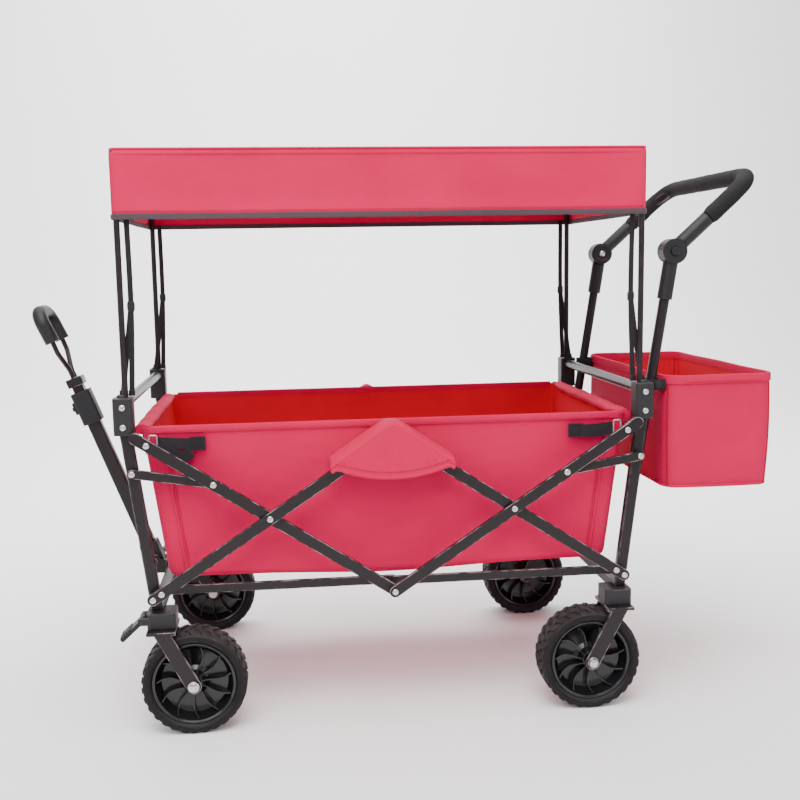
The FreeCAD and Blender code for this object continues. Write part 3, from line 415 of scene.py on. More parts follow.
@dataclass
class Shape:
    """A mesh in the making: corners, faces and each face's material index."""

    points: list[Vector] = field(default_factory=list)
    faces: list[tuple[int, ...]] = field(default_factory=list)
    looks: list[int] = field(default_factory=list)

    def add(self, points: Sequence[Vector], faces: Sequence[tuple[int, ...]], look: int = 0) -> "Shape":
        """Add loose points and faces.

        Args:
            points: the new corners.
            faces: faces as indices into those corners.
            look: material index of the faces.

        Returns:
            This shape.
        """
        base = len(self.points)
        self.points += [Vector(p) for p in points]
        self.faces += [tuple(base + i for i in face) for face in faces]
        self.looks += [look] * len(faces)
        return self

    def loft(self, rings: Sequence[Sequence[Vector]], closed: bool = True, caps: bool = False,
             ring_loop: bool = False, look: int = 0) -> "Shape":
        """Join rings of points into a skin.

        Args:
            rings: rows with the same number of points.
            closed: whether each row closes on itself.
            caps: whether the first and last rows are filled.
            ring_loop: whether the last row joins the first.
            look: material index of the faces.

        Returns:
            This shape.
        """
        wide, tall = len(rings[0]), len(rings)
        faces = []
        for row in range(tall if ring_loop else tall - 1):
            low, high = row * wide, (row + 1) % tall * wide
            for col in range(wide if closed else wide - 1):
                after = (col + 1) % wide
                faces.append((low + col, low + after, high + after, high + col))
        if caps:
            faces += [tuple(reversed(range(wide))), tuple(range((tall - 1) * wide, tall * wide))]
        return self.add([p for ring in rings for p in ring], faces, look)

    def build(self, name: str, finishes: Sequence[str], sharp: float = 35.0) -> bpy.types.Object:
        """Make the object.

        Args:
            name: the piece's name.
            finishes: the finishes by material index.
            sharp: edges that turn more than this many degrees stay sharp.

        Returns:
            The new object.
        """
        mesh = bpy.data.meshes.new(name)
        mesh.from_pydata([tuple(p) for p in self.points], [], self.faces)
        mesh.polygons.foreach_set("material_index", self.looks)
        mesh.validate()
        work = bmesh.new()
        work.from_mesh(mesh)
        bmesh.ops.recalc_face_normals(work, faces=work.faces)
        work.to_mesh(mesh)
        work.free()
        mesh.shade_smooth()
        mesh.set_sharp_from_angle(angle=math.radians(sharp))
        for finish in finishes:
            mesh.materials.append(MATERIALS[finish])
        made = bpy.data.objects.new(name, mesh)
        bpy.context.scene.collection.objects.link(made)
        return made


def circle(radius: float, steps: int = 12, tall: float | None = None) -> list[tuple[float, float]]:
    """A round or oval section.

    Args:
        radius: half the width.
        steps: number of corners.
        tall: half the height, if it differs.

    Returns:
        The section's corners.
    """
    rise = radius if tall is None else tall
    return [(radius * math.cos(2 * math.pi * i / steps), rise * math.sin(2 * math.pi * i / steps))
            for i in range(steps)]


def tape(width: float, gauge: float) -> list[tuple[float, float]]:
    """A flat strap's section with softened edges."""
    w, g = width / 2, gauge / 2
    return [(-w, 0), (-w + g, -g), (0, -1.1 * g), (w - g, -g), (w, 0), (w - g, g), (0, 1.1 * g), (-w + g, g)]


def smooth_line(points: Sequence[Vector], steps: int, closed: bool = False) -> list[Vector]:
    """A smooth curve through a few points.

    Args:
        points: what the curve passes through.
        steps: pieces between neighbouring points.
        closed: whether it joins its start.

    Returns:
        The finer points.
    """
    count = len(points)
    spans = count if closed else count - 1
    found = []
    for i in range(spans):
        if closed:
            a, b, c, d = (points[(i + k - 1) % count] for k in range(4))
        else:
            a, b, c, d = (points[min(max(i + k - 1, 0), count - 1)] for k in range(4))
        for s in range(steps):
            t = s / steps
            found.append(0.5 * (2 * b + (c - a) * t + (2 * a - 5 * b + 4 * c - d) * t * t
                                + (3 * b - a - 3 * c + d) * t ** 3))
    return found if closed else found + [points[-1].copy()]


def bent_line(corners: Sequence[Vector], radius: float, steps: int = Corner.ROUND.value) -> list[Vector]:
    """Straight runs joined by round bends.

    Args:
        corners: the ends and corners of the line.
        radius: how far from a corner its bend starts.
        steps: pieces in each bend.

    Returns:
        The line's points.
    """
    line = [corners[0]]
    for before, corner, after in zip(corners, corners[1:], corners[2:]):
        start = corner + (before - corner).normalized() * min(radius, (before - corner).length * 0.48)
        end = corner + (after - corner).normalized() * min(radius, (after - corner).length * 0.48)
        for i in range(steps + 1):
            t = i / steps
            line.append((1 - t) ** 2 * start + 2 * t * (1 - t) * corner + t * t * end)
    return line + [corners[-1]]


def sweep(line: Sequence[Vector], section: Outline, up: Vector | None = None, closed: bool = False,
          scale: Callable[[float], float] | None = None) -> list[list[Vector]]:
    """Carry a section along a line.

    Args:
        line: the line's points.
        section: the section's corners, as (sideways, up).
        up: which way the section's up looks; without it the section keeps its turn from point to point.
        closed: whether the line closes on itself.
        scale: the section's size at each share of the line's length.

    Returns:
        One ring of points for each point of the line.
    """
    count = len(line)
    rings, rise = [], None
    for i, point in enumerate(line):
        ahead = line[(i + 1) % count] if closed or i < count - 1 else point
        behind = line[i - 1] if closed or i > 0 else point
        along = (ahead - behind).normalized()
        if up is not None:
            rise = up
        elif rise is None:
            rise = Vector((0, 0, 1)) if abs(along.z) < 0.9 else Vector((1, 0, 0))
        across = along.cross(rise).normalized()
        rise_here = across.cross(along).normalized()
        if up is None:
            rise = rise_here
        size = scale(i / max(count - 1, 1)) if scale else 1.0
        rings.append([point + size * (across * a + rise_here * b) for a, b in section])
    return rings


def lathe(profile: Outline, centre: Vector, axis: Vector, steps: int = 48) -> list[list[Vector]]:
    """Turn a profile about an axis.

    Args:
        profile: (distance along the axis, radius) pairs.
        centre: where the axis starts.
        axis: the axis' direction.
        steps: pieces round the turn.

    Returns:
        One ring for each corner of the profile.
    """
    axis = axis.normalized()
    side = axis.orthogonal().normalized()
    other = axis.cross(side)
    turns = [2 * math.pi * i / steps for i in range(steps)]
    return [[centre + axis * along + (side * math.cos(t) + other * math.sin(t)) * radius for t in turns]
            for along, radius in profile]


def stitches(shape: Shape, line: Sequence[Vector], outward: Vector, look: int, pitch: float = 0.0052) -> None:
    """Lay a row of stitches along a line.

    Args:
        shape: the shape that gets them.
        line: where the seam runs.
        outward: the way the cloth faces.
        look: material index of the thread.
        pitch: from one stitch to the next.
    """
    thread, length = 0.0006, 0.62 * pitch
    reach = 0.0
    for start, end in zip(line, line[1:]):
        run = end - start
        if run.length < 1e-6:
            continue
        along = run.normalized()
        side = along.cross(outward).normalized() * thread
        lift = outward * thread
        while reach < run.length:
            middle = start + along * reach
            low, high = middle - along * length / 2, middle + along * length / 2
            ring = [low - side, low + side, high + side, high - side]
            top = [0.82 * (p - middle) + middle + lift for p in ring]
            shape.loft([[p - 0.3 * lift for p in ring], top], caps=True, look=look)
            reach += pitch
        reach -= run.length


def face_at(low: Vector, high: Vector, outward: int) -> float:
    """Where a box's face is, measured across the wagon.

    Args:
        low: the box's lowest corner.
        high: the box's highest corner.
        outward: 1 for the face on the right, -1 for the one on the left.

    Returns:
        The face's y coordinate.
    """
    return high.y if outward > 0 else low.y


def rounded_plan(half: Vector, centre: Vector, radius: float, along: int, across: int, bend: int
                 ) -> list[Vector]:
    """Points round a rectangle with round corners, seen from above.

    Args:
        half: half the length and half the width, in x and y.
        centre: the rectangle's middle.
        radius: the corners' radius.
        along: pieces in each long side.
        across: pieces in each short side.
        bend: pieces in each corner.

    Returns:
        The points, from the start of the left side's rear end, all the way round.
    """
    points = []
    for quarter, pieces in enumerate((along, across, along, across)):
        sign = Vector(((1, -1, 0), (-1, -1, 0), (-1, 1, 0), (1, 1, 0))[quarter])
        after = Vector(((-1, -1, 0), (-1, 1, 0), (1, 1, 0), (1, -1, 0))[quarter])
        inset = Vector((half.x - radius, half.y - radius, 0))
        start = Vector((sign.x * inset.x, sign.y * inset.y, 0))
        end = Vector((after.x * inset.x, after.y * inset.y, 0))
        outward = Vector(((0, -1, 0), (-1, 0, 0), (0, 1, 0), (1, 0, 0))[quarter])
        turned = Vector(((-1, 0, 0), (0, 1, 0), (1, 0, 0), (0, -1, 0))[quarter])
        points += [centre + start.lerp(end, i / pieces) + outward * radius for i in range(pieces + 1)]
        for i in range(1, bend):
            turn = math.pi / 2 * i / bend
            points.append(centre + end + radius * (outward * math.cos(turn) + turned * math.sin(turn)))
    return points


def modify(piece: bpy.types.Object, kind: str, **settings: object) -> bpy.types.Object:
    """Add a modifier and apply it at once.

    Args:
        piece: the object.
        kind: the modifier's type.
        settings: its properties.

    Returns:
        The same object.
    """
    change = piece.modifiers.new(kind.lower(), kind)
    for name, value in settings.items():
        setattr(change, name, value)
    settle(piece)
    return piece


def settle(piece: bpy.types.Object) -> None:
    """Apply every modifier of a piece to its mesh."""
    graph = bpy.context.evaluated_depsgraph_get()
    mesh = bpy.data.meshes.new_from_object(piece.evaluated_get(graph), depsgraph=graph)
    piece.modifiers.clear()
    piece.data = mesh


def drape(piece: bpy.types.Object, pins: dict[int, float], cap: float, pressure: float = 0.0,
          gravity: float = 1.0, frames: int = 18) -> None:
    """Let cloth hang or fill, and keep the result.

    Args:
        piece: the cloth.
        pins: how firmly each vertex is held, from 0 to 1.
        cap: how far a point may move, in metres.
        pressure: air pressure from inside.
        gravity: share of gravity that it feels.
        frames: how long it moves.
    """
    held = piece.vertex_groups.new(name="held")
    for index, weight in pins.items():
        held.add([index], weight, "REPLACE")
    cloth = piece.modifiers.new("cloth", "CLOTH")
    values = {"quality": 6, "mass": 0.25, "tension_stiffness": 40.0, "compression_stiffness": 40.0,
              "shear_stiffness": 12.0, "bending_stiffness": 1.2, "vertex_group_mass": "held",
              "pin_stiffness": 2.0,
              "use_pressure": pressure != 0.0, "uniform_pressure_force": pressure}
    for name, value in values.items():
        setattr(cloth.settings, name, value)
    cloth.settings.effector_weights.gravity = gravity
    cloth.collision_settings.use_collision = False
    cloth.point_cache.frame_start, cloth.point_cache.frame_end = 1, frames
    for step in range(1, frames + 1):
        bpy.context.scene.frame_set(step)
    graph = bpy.context.evaluated_depsgraph_get()
    moved = [v.co.copy() for v in piece.evaluated_get(graph).data.vertices]
    piece.modifiers.clear()
    for vertex, place in zip(piece.data.vertices, moved):
        move = place - vertex.co
        if move.length > cap:
            move *= cap / move.length
        vertex.co += move
    piece.vertex_groups.clear()
    bpy.context.scene.frame_set(1)


def joint_place(name: str) -> Vector:
    """Where the record puts a joint."""
    found = next(j for j in frame["joints"] if j["name"] == name)
    return Vector(found["pos_m"])


def opening(name: str) -> tuple[Vector, Vector]:
    """The lowest and highest corner of one of the record's openings."""
    found = next(o for o in frame["record"]["physics"]["openings"] if o["name"] == name)
    return Vector(found["box_m"][0]), Vector(found["box_m"][1])


def ride_fold(piece: bpy.types.Object, body: str) -> None:
    """Let a soft piece ride on a body, with a mesh of its own.

    Args:
        piece: the soft piece.
        body: the body that it rides on.
    """
    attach(piece, body)
    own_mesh(piece)


# ---------------------------------------------------------------- frame


@dataclass
class Framework:
    """The painted scissor frame, its rivets and its moulded corners."""

    head_share: float = 0.96
    bush_width: float = 14 * MM
    rivet_nodes: tuple[str, ...] = ("front_arm_pivots", "rear_arm_pivots", "front_cross_rivets",
                                    "rear_cross_rivets", "front_frame_rivets", "rear_frame_rivets")

    def paint(self) -> None:
        """Give every carried CAD node its finish."""
        for name, node in frame["nodes"].items():
            slots = [m.name for m in node.data.materials if m]
            finish = next((key for key in FINISHES if any(key in slot for slot in slots)), None)
            if finish is None:
                finish = "frame_paint"
            if name.endswith("corner_brackets") or name.endswith("foot_housings"):
                finish = "grey_plastic"
            node.data.materials.clear()
            node.data.materials.append(MATERIALS[finish])

    def rivets(self, node: str) -> bpy.types.Object:
        """Domed tubular rivets in place of a node's plain ones.

        Args:
            node: the CAD node.

        Returns:
            The new piece.
        """
        shape = Shape()
        for low, high in self.solids(node):
            if high.y * low.y < 0:
                continue
            outward = 1 if low.y > 0 else -1
            middle = (low + high) / 2
            outer, inner = face_at(low, high, outward), face_at(low, high, -outward)
            radius = self.head_share * min(high.x - low.x, high.z - low.z) / 2
            length = abs(outer - inner)
            base = Vector((middle.x, outer, middle.z))
            if high.x - low.x > self.bush_width:
                self.bush(shape, base, outward, (high.x - low.x) / 2, length)
                continue
            shank = max(length - 3.0 * MM, 0.2 * MM)
            profile = [(-length, 0.55 * radius), (-length, 0.94 * radius), (-length + 0.3 * MM, radius),
                       (-length + 1.2 * MM, radius), (-length + 1.4 * MM, 0.55 * radius),
                       (-length + shank, 0.55 * radius), (-length + shank, radius),
                       (-1.6 * MM, 0.98 * radius), (-0.8 * MM, 0.86 * radius), (-0.2 * MM, 0.62 * radius),
                       (0.0, 0.45 * radius), (-0.1 * MM, 0.36 * radius)]
            axis = Vector((0, outward, 0))
            shape.loft(lathe(profile, base, axis, 20))
            well = [(-0.1 * MM, 0.36 * radius), (-0.5 * MM, 0.28 * radius), (-0.6 * MM, 0.02 * radius)]
            shape.loft(lathe(well, base, axis, 20))
        return shape.build(f"{node}_domed", ["zinc_steel", "frame_paint"])

    def bush(self, shape: Shape, face: Vector, outward: int, radius: float, length: float) -> None:
        """A painted spacer with softened rims between a post and an arm.

        Args:
            shape: the shape that gets it.
            face: the middle of its outer face.
            outward: -1 on the left side, 1 on the right.
            radius: its outer radius.
            length: its length.
        """
        bore, soft = 0.46 * radius, 0.6 * MM
        profile = [(-length, bore), (-length, radius - soft), (-length + soft, radius), (-soft, radius),
                   (0.0, radius - soft), (0.0, bore), (-length, bore)]
        shape.loft(lathe(profile, face, Vector((0, outward, 0)), 24), look=1)

    def axle_caps(self, end: str, side: str) -> bpy.types.Object:
        """The domed outer head of one axle bolt."""
        hub_low, hub_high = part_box(f"{end}_{side}_hub")
        bolt = "front_axle_bolts" if end == "front" else f"rear_{side}_caster_fork"
        low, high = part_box(bolt)
        outward = SIDES[side]
        face = face_at(low, high, outward)
        spot = Vector(((hub_low.x + hub_high.x) / 2, face - outward * 1.0 * MM, (hub_low.z + hub_high.z) / 2))
        dome = [(-2.6 * MM, 9.6 * MM), (0.4 * MM, 9.6 * MM), (0.9 * MM, 9.2 * MM), (1.0 * MM, 7.6 * MM),
                (2.6 * MM, 7.0 * MM), (3.6 * MM, 5.0 * MM), (3.9 * MM, 3.0 * MM), (3.3 * MM, 2.4 * MM),
                (3.2 * MM, 0.1 * MM)]
        piece = Shape().loft(lathe(dome, spot, Vector((0, outward, 0)), 28)).build(
            f"{end}_{side}_axle_cap", ["zinc_steel"])
        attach(piece, body_of(frame["nodes"][bolt])[0])
        return piece

    def solids(self, node: str) -> list[tuple[Vector, Vector]]:
        """The boxes of a CAD node's separate solids."""
        work = bmesh.new()
        work.from_mesh(frame["nodes"][node].data)
        bmesh.ops.remove_doubles(work, verts=work.verts, dist=1e-5)
        left, found = set(work.verts), []
        while left:
            queue = [left.pop()]
            lump = []
            while queue:
                vert = queue.pop()
                lump.append(vert.co.copy())
                for edge in vert.link_edges:
                    other = edge.other_vert(vert)
                    if other in left:
                        left.remove(other)
                        queue.append(other)
            low = Vector(min(p[i] for p in lump) for i in range(3))
            high = Vector(max(p[i] for p in lump) for i in range(3))
            found.append((low, high))
        work.free()
        return sorted(found, key=lambda pair: tuple(round(c, 5) for c in pair[0]))

    def bracket_details(self, end: str) -> bpy.types.Object:
        """Rivets on the outer face of both corner brackets of one end, and a round collar on top of each."""
        shape = Shape()
        for low, high in self.solids(f"{end}_corner_brackets"):
            outward = 1 if low.y > 0 else -1
            face = face_at(low, high, outward)
            axis = Vector((0, outward, 0))
            middle = (low + high) / 2
            for rise in (0.22, 0.76):
                spot = Vector((middle.x, face, low.z + rise * (high.z - low.z)))
                shape.loft(lathe([(0, 5.2 * MM), (1.4 * MM, 5.0 * MM), (2.4 * MM, 3.6 * MM),
                                  (2.6 * MM, 2.4 * MM),
                                  (1.6 * MM, 1.8 * MM), (1.4 * MM, 0.1 * MM)], spot, axis, 18))
            collar = Vector((middle.x + (3 * MM if middle.x > 0 else -3 * MM), 0, high.z))
            collar.y = middle.y - outward * 7 * MM
            shape.loft(lathe([(-2 * MM, 8.5 * MM), (2.5 * MM, 8.2 * MM), (4 * MM, 7 * MM),
                              (4.4 * MM, 5.3 * MM)],
                             collar, Vector((0, 0, 1)), 24), look=1)
        return shape.build(f"{end}_bracket_details", ["zinc_steel", "grey_plastic"])

    def build(self) -> None:
        """Paint the frame and swap the rivets."""
        self.paint()
        for node in self.rivet_nodes:
            piece = self.rivets(node)
            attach(piece, body_of(frame["nodes"][node])[0])
            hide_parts(node)
        for end in ENDS:
            piece = self.bracket_details(end)
            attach(piece, f"{end}_frame")
            for side in SIDES:
                self.axle_caps(end, side)


# ---------------------------------------------------------------- wheels


@dataclass
class Wheel:
    """One wheel: a block-tread tyre on a dished, finned hub."""

    end: str
    side: str
    blocks: int = 30
    tread_depth: float = 2.8 * MM
    lip: float = 3.0 * MM
    fins: int = 11

    def __post_init__(self) -> None:
        """Read the wheel's sizes from the frame."""
        low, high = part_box(f"{self.end}_{self.side}_tyre")
        self.centre = (low + high) / 2
        self.radius, self.half = (high.z - low.z) / 2, (high.y - low.y) / 2
        hub_low, hub_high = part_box(f"{self.end}_{self.side}_hub")
        self.rim, self.hub_half = (hub_high.z - hub_low.z) / 2, (hub_high.y - hub_low.y) / 2

    def around(self, turn: float, radius: float, across: float) -> Vector:
        """A point at an angle, a radius and a distance across the wheel."""
        return self.centre + Vector((radius * math.sin(turn), across, radius * math.cos(turn)))

    def tyre(self) -> bpy.types.Object:
        """The carcass with its tread blocks."""
        floor, h = self.radius - self.tread_depth, self.half
        profile = [(-0.80 * h, self.rim + 0.2 * MM), (-0.90 * h, self.rim + 2 * MM),
                   (-0.97 * h, self.rim + 6 * MM),
                   (-h, self.radius - 9 * MM), (-0.96 * h, self.radius - 5.0 * MM),
                   (-0.86 * h, floor - 0.6 * MM),
                   (-0.62 * h, floor), (0.0, floor + 0.4 * MM), (0.62 * h, floor),
                   (0.86 * h, floor - 0.6 * MM),
                   (0.96 * h, self.radius - 5.0 * MM), (h, self.radius - 9 * MM),
                   (0.97 * h, self.rim + 6 * MM),
                   (0.90 * h, self.rim + 2 * MM), (0.80 * h, self.rim + 0.2 * MM)]
        shape = Shape().loft(lathe(profile, self.centre, Vector((0, 1, 0)), 72), ring_loop=True)
        step = 2 * math.pi / self.blocks
        for i in range(self.blocks):
            for column, (across, skew,
                         size) in enumerate(((-0.60, -0.22, 0.30), (0.0, 0.0, 0.30), (0.60, 0.22, 0.30))):
                self.block(shape, (i + 0.5 * (column == 1)) * step, across * h, skew * step, size * h,
                           0.33 * step)
        for ring in (-1, 1):
            bead = [(ring * (0.985 * h + 0.5 * MM * math.cos(a)),
                     self.radius - 13 * MM + 1.0 * MM * math.sin(a))
                    for a in (0.0, 1.57, 3.14, 4.71)]
            shape.loft(lathe(bead, self.centre, Vector((0, 1, 0)), 72), ring_loop=True)
        return shape.build(f"{self.end}_{self.side}_tread_tyre", ["tyre_rubber"])

    def block(self, shape: Shape, turn: float, across: float, skew: float, wide: float, long: float) -> None:
        """One angled tread block.

        Args:
            shape: the tyre.
            turn: the block's angle round the wheel.
            across: its middle across the tread.
            skew: how far its ends lean round the wheel, as an angle.
            wide: half its width.
            long: half its length, as an angle.
        """
        corners = [(-1.0, -0.72), (-0.35, -1.0), (1.0, -0.62), (1.0, 0.72), (0.35, 1.0), (-1.0, 0.62)]
        rings = []
        for radius, grow in ((self.radius - self.tread_depth - 1.5 * MM, 1.06),
                             (self.radius - 0.7 * MM, 0.97),
                             (self.radius, 0.86)):
            ring = []
            for a, b in corners:
                spot = across + a * wide * grow
                drop = max(abs(spot) - 0.62 * self.half, 0) ** 2 * 26
                ring.append(self.around(turn + b * long * grow + a * skew, radius - drop, spot))
            rings.append(ring)
        shape.loft(rings, caps=True)

    def hub(self) -> bpy.types.Object:
        """The dished hub with thin curved fins on both faces."""
        r, h = self.rim, self.hub_half
        profile = [(-h, r - 1.2 * MM), (-h + 0.8 * MM, r), (h - 0.8 * MM, r), (h, r - 1.2 * MM),
                   (h + 0.2 * MM, r - 3 * MM), (h - 1.5 * MM, r - self.lip - 2.5 * MM),
                   (h - 9 * MM, r - 8 * MM),
                   (7 * MM, r - 15 * MM), (3 * MM, 0.62 * r), (4 * MM, 0.36 * r), (9 * MM, 19 * MM),
                   (h - 6 * MM, 14.5 * MM), (h - 3.2 * MM, 13.5 * MM), (h - 2.8 * MM, 12 * MM),
                   (h - 3 * MM, 6.2 * MM)]
        mirrored = [(-a, b) for a, b in reversed(profile[3:])]
        loop = profile[1:] + mirrored + [profile[0]]
        shape = Shape().loft(lathe(loop, self.centre, Vector((0, 1, 0)), 72), ring_loop=True)
        for face in (-1, 1):
            for i in range(self.fins):
                self.fin(shape, 2 * math.pi * i / self.fins + 0.2, face)
        return shape.build(f"{self.end}_{self.side}_dished_hub", ["hub_plastic"], 30.0)

    def fin(self, shape: Shape, turn: float, face: int) -> None:
        """One curved fin.

        Args:
            shape: the hub.
            turn: the fin's angle.
            face: -1 or 1 for the side of the wheel.
        """
        rings = []
        for step in range(9):
            share = step / 8
            radius = 13 * MM + share * (self.rim - 8 * MM - 13 * MM)
            bow = 0.16 * math.sin(math.pi * share)
            high = self.hub_half - 4 * MM - 6.0 * MM * math.sin(math.pi * share) ** 0.8
            half = (1.1 + 0.5 * share) * MM
            ring = []
            for along, out in ((-half, 2 * MM), (half, 2 * MM), (half * 0.8, high), (-half * 0.8, high)):
                ring.append(self.around(turn + bow + along / radius, radius, face * out))
            rings.append(ring)
        shape.loft(rings, caps=True)

    def build(self) -> None:
        """Make the tyre and hub and put them on the wheel's body."""
        for piece, node, slot in ((self.tyre(), "tyre", "tyre_rubber"), (self.hub(), "hub", "hub_plastic")):
            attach(piece, f"{self.end}_{self.side}_wheel")
            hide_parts(f"{self.end}_{self.side}_{node}")


class Walled:
    """A soft part whose walls are a stack of rounded outlines."""

    mid: Vector
    corner: float
    along: int
    across: int
    bend: int

    def outline(self, half: Vector, z: float) -> list[Vector]:
        """One outline of the walls.

        Args:
            half: half the outline's length and width.
            z: the outline's height.

        Returns:
            The outline's points.
        """
        return rounded_plan(half, Vector((self.mid.x, 0, z)), self.corner, self.along, self.across, self.bend)

    @staticmethod
    def floored(rings: list[list[Vector]], centre: Vector) -> "Shape":
        """Walls whose last ring closes on one point.

        Args:
            rings: the outlines, from the rim down and inwards.
            centre: the point that the last ring closes on.

        Returns:
            The walls and the floor as one shape.
        """
        shape = Shape().loft(rings)
        wide = len(rings[-1])
        base = (len(rings) - 1) * wide
        shape.points.append(centre)
        for i in range(wide):
            shape.faces.append((base + i, base + (i + 1) % wide, len(shape.points) - 1))
            shape.looks.append(0)
        return shape

    @staticmethod
    def settled(piece: bpy.types.Object, wide: int, rows: int) -> list[list[Vector]]:
        """The first rows of a draped piece's points, as the cloth came to rest.

        Args:
            piece: the draped piece.
            wide: how many points a row has.
            rows: how many rows to read.

        Returns:
            The rows of points.
        """
        return [[piece.data.vertices[row * wide
                                     + col].co.copy() for col in range(wide)] for row in range(rows)]


# ---------------------------------------------------------------- tub


@dataclass
class Tub(Walled):
    """The fabric tub: sagging shell, folded hems, rolled end rims, seams, mat, flaps and tie straps."""

    along: int = 46
    across: int = 26
    bend: int = 4
    levels: int = 16
    floor_rings: int = 5
    corner: float = 16 * MM
    cloth: float = 1.6 * MM
    hem: float = 10 * MM
    dip: float = 9 * MM

    def __post_init__(self) -> None:
        """Read the tub's sizes from the frame."""
        self.low, self.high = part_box("tub_fabric")
        self.mat_low, self.mat_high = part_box("floor_mat")
        self.mid = (self.low + self.high) / 2
        self.top_half = (self.high.x - self.low.x) / 2 - 6 * MM
        self.bottom_half = (self.mat_high.x - self.mat_low.x) / 2 + 8 * MM
        self.half_width = (self.high.y - self.low.y) / 2 - 2 * MM

    def ring(self, share: float, inset: float = 0.0) -> list[Vector]:
        """The wall's outline at a share of its depth, moved in by an inset."""
        half = Vector((self.top_half + share * (self.bottom_half - self.top_half) - inset,
                       self.half_width - inset, 0))
        z = self.high.z - 2 * MM - share * (self.high.z - self.low.z - 3 * MM)
        points = self.outline(half, z)
        for p in points:
            reach = (p.x - self.mid.x) / self.top_half
            p.z -= share ** 3 * self.dip * math.exp(-(reach / 0.42) ** 2)
            crown = math.cos(min(abs(reach), 1.0) * math.pi / 2)
            wall = math.sin(math.pi * min(max(share, 0.0), 1.0))
            ripple = 1.6 * MM * math.sin(9 * reach + 4 * share) * crown
            if abs(abs(p.y) - half.y) < 1e-4:
                p.y += math.copysign((2.5 * MM * crown + ripple) * wall, p.y)
        return points

    def shell(self) -> bpy.types.Object:
        """Walls and floor as one hanging sheet."""
        rings = [self.ring(i / self.levels) for i in range(self.levels + 1)]
        last = rings[-1]
        for step in range(1, self.floor_rings + 1):
            share = 1 - step / (self.floor_rings + 0.15)
            rings.append([Vector((self.mid.x + (p.x - self.mid.x) * share, p.y * share,
                                  p.z + (self.low.z + 1.5 * MM - p.z) * (1 - share) * 0.6)) for p in last])
        wide = len(rings[0])
        shape = self.floored(rings, sum(rings[-1], Vector()) / wide)
        piece = shape.build("tub_shell", ["red_fabric", "red_lining"], 60.0)
        pins = {i: 1.0 for i in range(wide)}
        for row in range(1, self.levels):
            for col in self.corner_columns():
                pins[row * wide + col] = 0.7
        for index in range(self.levels * wide, len(shape.points)):
            pins[index] = 0.95
        drape(piece, pins, 6 * MM, pressure=-0.35, gravity=0.6)
        self.wall = self.settled(piece, wide, self.levels + 1)
        modify(piece, "SOLIDIFY", thickness=self.cloth, offset=-1.0, use_rim=True, material_offset=1)
        return modify(piece, "SUBSURF", levels=1)

    def corner_columns(self) -> list[int]:
        """The columns of points that lie in the corners."""
        found, start = [], 0
        for pieces in (self.along, self.across, self.along, self.across):
            start += pieces
            found += list(range(start, start + self.bend + 1))
            start += self.bend
        wide = 2 * (self.along + self.across) + 4 * self.bend
        return sorted({c % wide for c in found})

    def side_columns(self, side: int) -> list[int]:
        """The columns of points along one long side, from one end to the other."""
        start = 0 if side < 0 else self.along + self.across + 2 * self.bend
        return list(range(start, start + self.along + 1))

    def end_columns(self, end: int) -> list[int]:
        """The columns of points across one end."""
        start = self.along + self.bend if end < 0 else 2 * self.along + self.across + 3 * self.bend
        return list(range(start, start + self.across + 1))

    def side_line(self, side: int, depth: float, out: float, trim: int = 0) -> list[Vector]:
        """A line along a long side's wall.

        Args:
            side: -1 for the left side, 1 for the right.
            depth: how far below the rim, in metres.
            out: how far outside the cloth.
            trim: points left out at each end.

        Returns:
            The line's points.
        """
        row = depth / (self.high.z - self.low.z) * self.levels
        low = int(row)
        columns = self.side_columns(side)[trim:len(self.side_columns(side)) - trim]
        return [self.wall[low][c].lerp(self.wall[low + 1][c], row - low) + Vector((0, side * out, 0))
                for c in columns]

    def trims(self) -> bpy.types.Object:
        """Folded hems, rolled end rims, piped corners and every row of stitches."""
        shape = Shape()
        for side in SIDES.values():
            top = [p + Vector((0, 0, 0.8 * MM)) for p in self.side_line(side, 0.0, 0.0)]
            depth = self.hem
            section = [(-2.6 * MM, -depth), (-2.9 * MM, -0.5 * depth), (-3.2 * MM, -3 * MM),
                       (-2.6 * MM, 0.6 * MM),
                       (0.0, 2.0 * MM), (2.6 * MM, 0.6 * MM), (3.2 * MM, -3 * MM), (2.9 * MM, -0.5 * depth),
                       (2.6 * MM, -depth), (1.2 * MM, -depth - 0.3 * MM), (1.2 * MM, -4 * MM),
                       (-1.2 * MM, -4 * MM),
                       (-1.2 * MM, -depth - 0.3 * MM)]
            shape.loft(sweep(top, section, Vector((0, 0, 1))), caps=True)
            stitches(shape, self.side_line(side, depth - 3 * MM, 3.2 * MM, 1), Vector((0, side, 0)), 1)
            bottom = self.side_line(side, self.high.z - self.low.z - 7 * MM, 0.6 * MM, 1)
            stitches(shape, bottom, Vector((0, side, 0)), 1)
            self.upright_seams(shape, side)
        for end in ENDS.values():
            self.end_rim(shape, end)
        return shape.build("tub_hems_and_seams", ["red_fabric", "red_thread"], 50.0)

    def upright_seams(self, shape: Shape, side: int) -> None:
        """Piping down both ends of a long side's panel, with a line of stitches beside it."""
        columns = self.side_columns(side)
        for column, inward in ((columns[1], 1), (columns[-2], -1)):
            line = [self.wall[row][column]
                    + Vector((0, side * 1.0 * MM, 0)) for row in range(1, self.levels + 1)]
            shape.loft(sweep(smooth_line(line, 2), circle(2.2 * MM, 10), Vector((0, side, 0))), caps=True)
            step = columns[2] - columns[1]
            beside = [self.wall[row][column + inward * step].lerp(p, 0.62) + Vector((0, side * 0.9 * MM, 0))
                      for row, p in zip(range(1, self.levels + 1), line)]
            stitches(shape, beside, Vector((0, side, 0)), 1)

